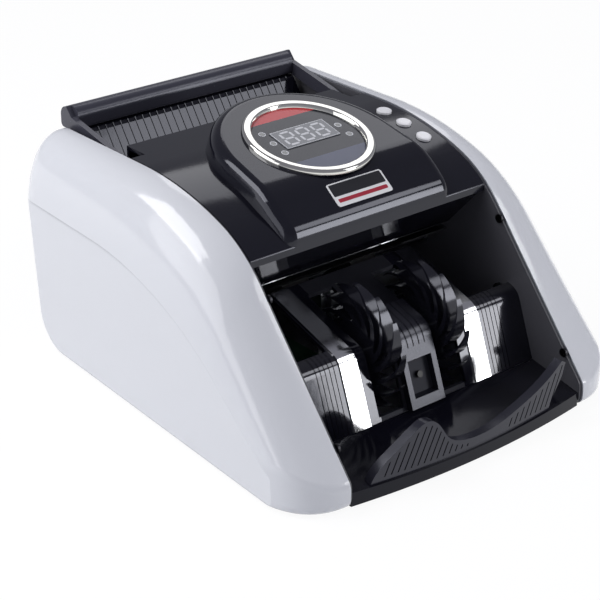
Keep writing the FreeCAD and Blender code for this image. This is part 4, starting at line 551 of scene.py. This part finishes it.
# %% Draw the rim round the window
RIM = 0.0005
RIM_CORNER = RIM * 0.4
RIM_LONG = 0.0438
RIM_WIDE = 0.0198
PRINT_THICK = 0.00005
rim = bmesh.new()
for side in (-1, 1):
    add_plate(rim, (0, WINDOW_OFF + side * (RIM_WIDE - RIM) / 2), RIM_LONG, RIM, RIM_CORNER, PRINT_THICK)
    add_plate(rim, (side * (RIM_LONG - RIM) / 2, WINDOW_OFF), RIM, RIM_WIDE - 2 * RIM, 0, PRINT_THICK)
finish_piece("window_rim", rim, on_face(WINDOW_TOP), pale_print, "chassis")

# %% [markdown]
# ### Lamp rims
# Round each small lamp a pale ring is printed, three at the left and two at the right. A ring could be a
# disc with a hole cut in it, but a short edge that is spun once round gives it in one step. All five come
# from one print, so they share one mesh.

# %% Print the lamp rims
LAMPS = [(-0.026, 0.016), (-0.026, 0.004), (-0.026, -0.008), (0.028, 0.004), (0.028, -0.008)]
LAMP_RIM_IN = 0.0018
LAMP_RIM_OUT = 0.0025
rims = bmesh.new()
add_rings(rims, LAMPS, LAMP_RIM_IN, LAMP_RIM_OUT, PRINT_THICK)
finish_piece("lamp_rims", rims, on_face(FACE_LEVEL), pale_print, "chassis")

# %% [markdown]
# ### The chrome ring
# The ring round the display shines like a mirror: its outer edge is rolled over, and inside it slopes down
# to the face like a dish. A turned shape is one outline that is spun round its axis. The solid has a
# plainer outline in flat bands, which a mirror finish shows, so the ring is turned again here with a
# deeper slope, and its two top edges get a true round from the bevel tool.

# %% Turn the ring
RING_OUT = 0.044
RING_CREST = 0.0381
RING_IN = 0.0367
RING_TOP = 0.003
RING_FOOT = 0.0009
SKIRT_OUT = 0.0404
SKIRT_IN = 0.0372
SKIRT_FOOT = -0.007
SEAT_OUT = 0.0383
SEAT = 0.00064
LEDGE = -0.0014
RING_STEPS = 128
outline = [(SKIRT_IN, SKIRT_FOOT), (SKIRT_OUT, SKIRT_FOOT), (SKIRT_OUT, 0), (RING_OUT, 0),
           (RING_OUT, RING_TOP), (RING_CREST, RING_TOP), (RING_IN, RING_FOOT), (RING_IN, SEAT),
           (SEAT_OUT, SEAT), (SEAT_OUT, LEDGE), (SKIRT_IN, LEDGE)]
ring = bmesh.new()
corners = [ring.verts.new((radius, 0, level)) for radius, level in outline]
sides = [ring.edges.new((corners[index - 1], corners[index])) for index in range(len(corners))]
bmesh.ops.spin(ring, geom=corners + sides, cent=(0, 0, 0), axis=UP, angle=2 * math.pi, steps=RING_STEPS,
               use_merge=True)
print("ring turned:", len(ring.faces), "faces")

# %% Roll the ring's edges
ROLLS = ((RING_OUT, 0.0022), (RING_CREST, 0.0007))
ROLL_STEPS = 8
SHARP_FROM = math.radians(40)
NEAR = 1e-6


def on_top_circle(edge, radius):
    """Whether an edge lies on the ring's top, on a circle of a radius."""
    level = all(abs(end.co.z - RING_TOP) < NEAR for end in edge.verts)
    return level and all(abs(end.co.xy.length - radius) < NEAR for end in edge.verts)


for radius, roll in ROLLS:
    circle = [edge for edge in ring.edges if on_top_circle(edge, radius)]
    bmesh.ops.bevel(ring, geom=circle, offset=roll, segments=ROLL_STEPS, profile=0.5, affect="EDGES",
                    material=-1)
chrome_ring = finish_piece("chrome_ring", ring, on_face(0), metals["chrome"], "chassis", SHARP_FROM)
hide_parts("bezel_ring")

# %% [markdown]
# ### The sticker on the dome
# A small sticker sits on the front slope of the dome. It carries no words: it is a plain white vinyl with
# a dark field and a red band. To lie on the slope it needs a point and a normal of the dome, which a ray
# finds.

# %% Find the slope and lay the sticker on it
def on_skin(node, start, heading, level=0.0):
    """The plane of a solid's skin where a ray from a start meets it, its first axis along X."""
    spot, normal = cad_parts[node].ray_cast(start, heading)[1:3]
    first = Vector((1, 0, 0))
    second = normal.cross(first).normalized()
    turn = Matrix((first, second, normal)).transposed().to_4x4()
    return Matrix.Translation(spot + normal * level) @ turn


ABOVE_STICKER = (0.0, -0.0405, 0.3)
DOWN = (0, 0, -1)
VINYL_THICK = 0.0001
vinyl = moulded("white_vinyl", shade(238, 239, 241), 0.28, swell=4e-6, grain=2e-6, lift=1.02)
dark_vinyl = moulded("dark_vinyl", shade(34, 35, 40), 0.28, swell=4e-6, grain=2e-6)
red_vinyl = moulded("red_vinyl", shade(168, 44, 62), 0.28, swell=4e-6, grain=2e-6, lift=1.1)
for name, middle, long, wide, corner, level, finish in (
    ("sticker", (0, 0), 0.0455, 0.0172, 0.0018, 0.0, vinyl),
    ("sticker_field", (0, 0.0033), 0.0427, 0.0088, 0.0009, VINYL_THICK, dark_vinyl),
    ("sticker_band", (0, -0.0045), 0.0405, 0.0027, 0.0006, VINYL_THICK, red_vinyl),
):
    plate = bmesh.new()
    add_plate(plate, middle, long, wide, corner, VINYL_THICK)
    spot = on_skin("top_cover", ABOVE_STICKER, DOWN, level)
    finish_piece(name, plate, spot, finish, "chassis")

# %% [markdown]
# ### The marks on the power switch
# A mains rocker usually carries two marks, a bar for on and a ring for off, printed on its two ends. The
# bar is a plate and the ring is spun, as before. They ride on the rocker, so they tip with it.

# %% Mark the rocker
ROCKER_X = 0.014
ROCKER_Z = 0.034
BEHIND = 0.3
FORWARDS = (0, -1, 0)
MARK_RISE = 0.0046
MARK_THICK = 0.00006
ON_BAR = {"long": 0.0007, "wide": 0.0034, "corner": 0.0003, "thick": MARK_THICK}
OFF_RING = {"inside": 0.0011, "outside": 0.0017, "thick": MARK_THICK}


def on_rocker(rise):
    """The rocker's skin at a rise above its middle, met from behind."""
    return on_skin("power_rocker", (ROCKER_X, BEHIND, ROCKER_Z + rise), FORWARDS)


on_mark = bmesh.new()
add_plate(on_mark, (0, 0), **ON_BAR)
finish_piece("switch_bar", on_mark, on_rocker(MARK_RISE), pale_print, "rocker")
off_mark = bmesh.new()
add_rings(off_mark, [(0, 0)], **OFF_RING)
finish_piece("switch_ring", off_mark, on_rocker(-MARK_RISE), pale_print, "rocker")

# %% [markdown]
# ## The studio
# The machine stands on a pale floor that keeps its shadow. To the camera, and in mirrors, most of the
# floor's colour is a plain glow, so that the picture's ground is white without more light on the machine.

# %% Lay the floor
FLOOR_GLOW = 1.09
FLOOR_GLOW_SHARE = 0.85
FLOOR_HALF = 6
FLOOR_PARTS = 8


def pale_floor():
    """A pale floor that keeps the shadow, and reads as white to the camera and in mirrors."""
    finish = Finish("pale_floor", Roughness=0.6)
    grain = finish.noise(finish.place(), 8, 3)
    finish.feed("Base Color", finish.tint(grain * 0.2, shade(208, 209, 213), shade(216, 217, 221)))
    direct, mirrored, through = [finish.node("ShaderNodeLightPath", {}, {}, out=name) for name in
                                 ("Is Camera Ray", "Is Glossy Ray", "Is Transmission Ray")]
    share = (direct + mirrored + through) * FLOOR_GLOW_SHARE
    glow = finish.node("ShaderNodeEmission", {}, {"Color": WHITE, "Strength": FLOOR_GLOW})
    body = Flow(finish, finish.shader.outputs[0])
    both = finish.node("ShaderNodeMixShader", {}, {0: share, 1: body, 2: glow})
    finish.tree.links.new(both.socket, finish.tree.nodes["Material Output"].inputs["Surface"])
    return finish


ground = bmesh.new()
bmesh.ops.create_grid(ground, x_segments=FLOOR_PARTS, y_segments=FLOOR_PARTS, size=FLOOR_HALF)
sheet = bpy.data.meshes.new("floor")
ground.to_mesh(sheet)
ground.free()
floor = bpy.data.objects.new("floor", sheet)
sheet.materials.append(pale_floor().material)
bpy.context.scene.collection.objects.link(floor)
print("floor at", floor.location.z)

# %% [markdown]
# ### Light
# Five soft boxes light the machine. A strong one high at the left makes the bright patch on the cover, and
# a broad one at the left fills the flank. One behind at the right runs along the black top as a grey
# sheen. One low at the front right makes the steep black plates and the polished strips shine, and one
# above it picks out the fingers. Glossy plastic shows a lamp only along the direction that it mirrors into
# the camera, so the boxes hang on such directions. The world is a pale room, darker above, so that the
# black skin has something to mirror.

# %% Hang the soft boxes
AIM = Vector((0, 0, 0.09))


def soft_box(name, towards, distance, long, wide, glow):
    """An area lamp on a direction from the machine, facing it. Glow is the light it shows to a mirror."""
    lamp = bpy.data.lights.new(name, "AREA")
    lamp.shape = "RECTANGLE"
    lamp.size = long
    lamp.size_y = wide
    lamp.energy = glow * long * wide * math.pi
    box = bpy.data.objects.new(name, lamp)
    away = Vector(towards).normalized()
    box.location = AIM + away * distance
    box.rotation_euler = (-away).to_track_quat("-Z", "Y").to_euler()
    bpy.context.scene.collection.objects.link(box)
    print(name, [round(part, 2) for part in box.location])


soft_box("overhead_box", (-0.52, 0.36, 0.78), distance=1.6, long=1.0, wide=0.75, glow=4.7)
soft_box("left_box", (-0.9, 0.25, 0.42), distance=1.7, long=1.5, wide=1.2, glow=1.6)
soft_box("rear_box", (0.57, 0.52, 0.63), distance=1.8, long=0.8, wide=0.5, glow=1.5)
soft_box("front_box", (0.59, -0.79, 0.2), distance=1.5, long=0.34, wide=0.62, glow=7.5)
soft_box("high_front_box", (0.574, -0.54, 0.58), distance=1.5, long=0.42, wide=0.42, glow=4.0)

# %% Fill the room with pale light
WALLS = (0.36, 0.37, 0.4, 1)
CEILING = (0.22, 0.22, 0.25, 1)
CEILING_FROM = 0.55
room = Finish("room", kind="worlds", shader="Background")
bpy.context.scene.world = room.material
heading = room.node("ShaderNodeTexCoord", {}, {}, out="Generated")
steps = {"stops": [(0.0, WALLS), (CEILING_FROM, CEILING)]}
paling = room.node("ShaderNodeValToRGB", steps, {"Fac": room.axis(heading, "Z")})
direct = room.node("ShaderNodeLightPath", {}, {}, out="Is Camera Ray")
room.feed("Color", room.tint(direct, paling, WHITE))
print("room:", room.material.name)

# %% [markdown]
# ## The view transform
# The picture uses the plain view transform, so a colour shows as it was written.

# %% Set the plain view transform
bpy.context.scene.view_settings.view_transform = "Standard"
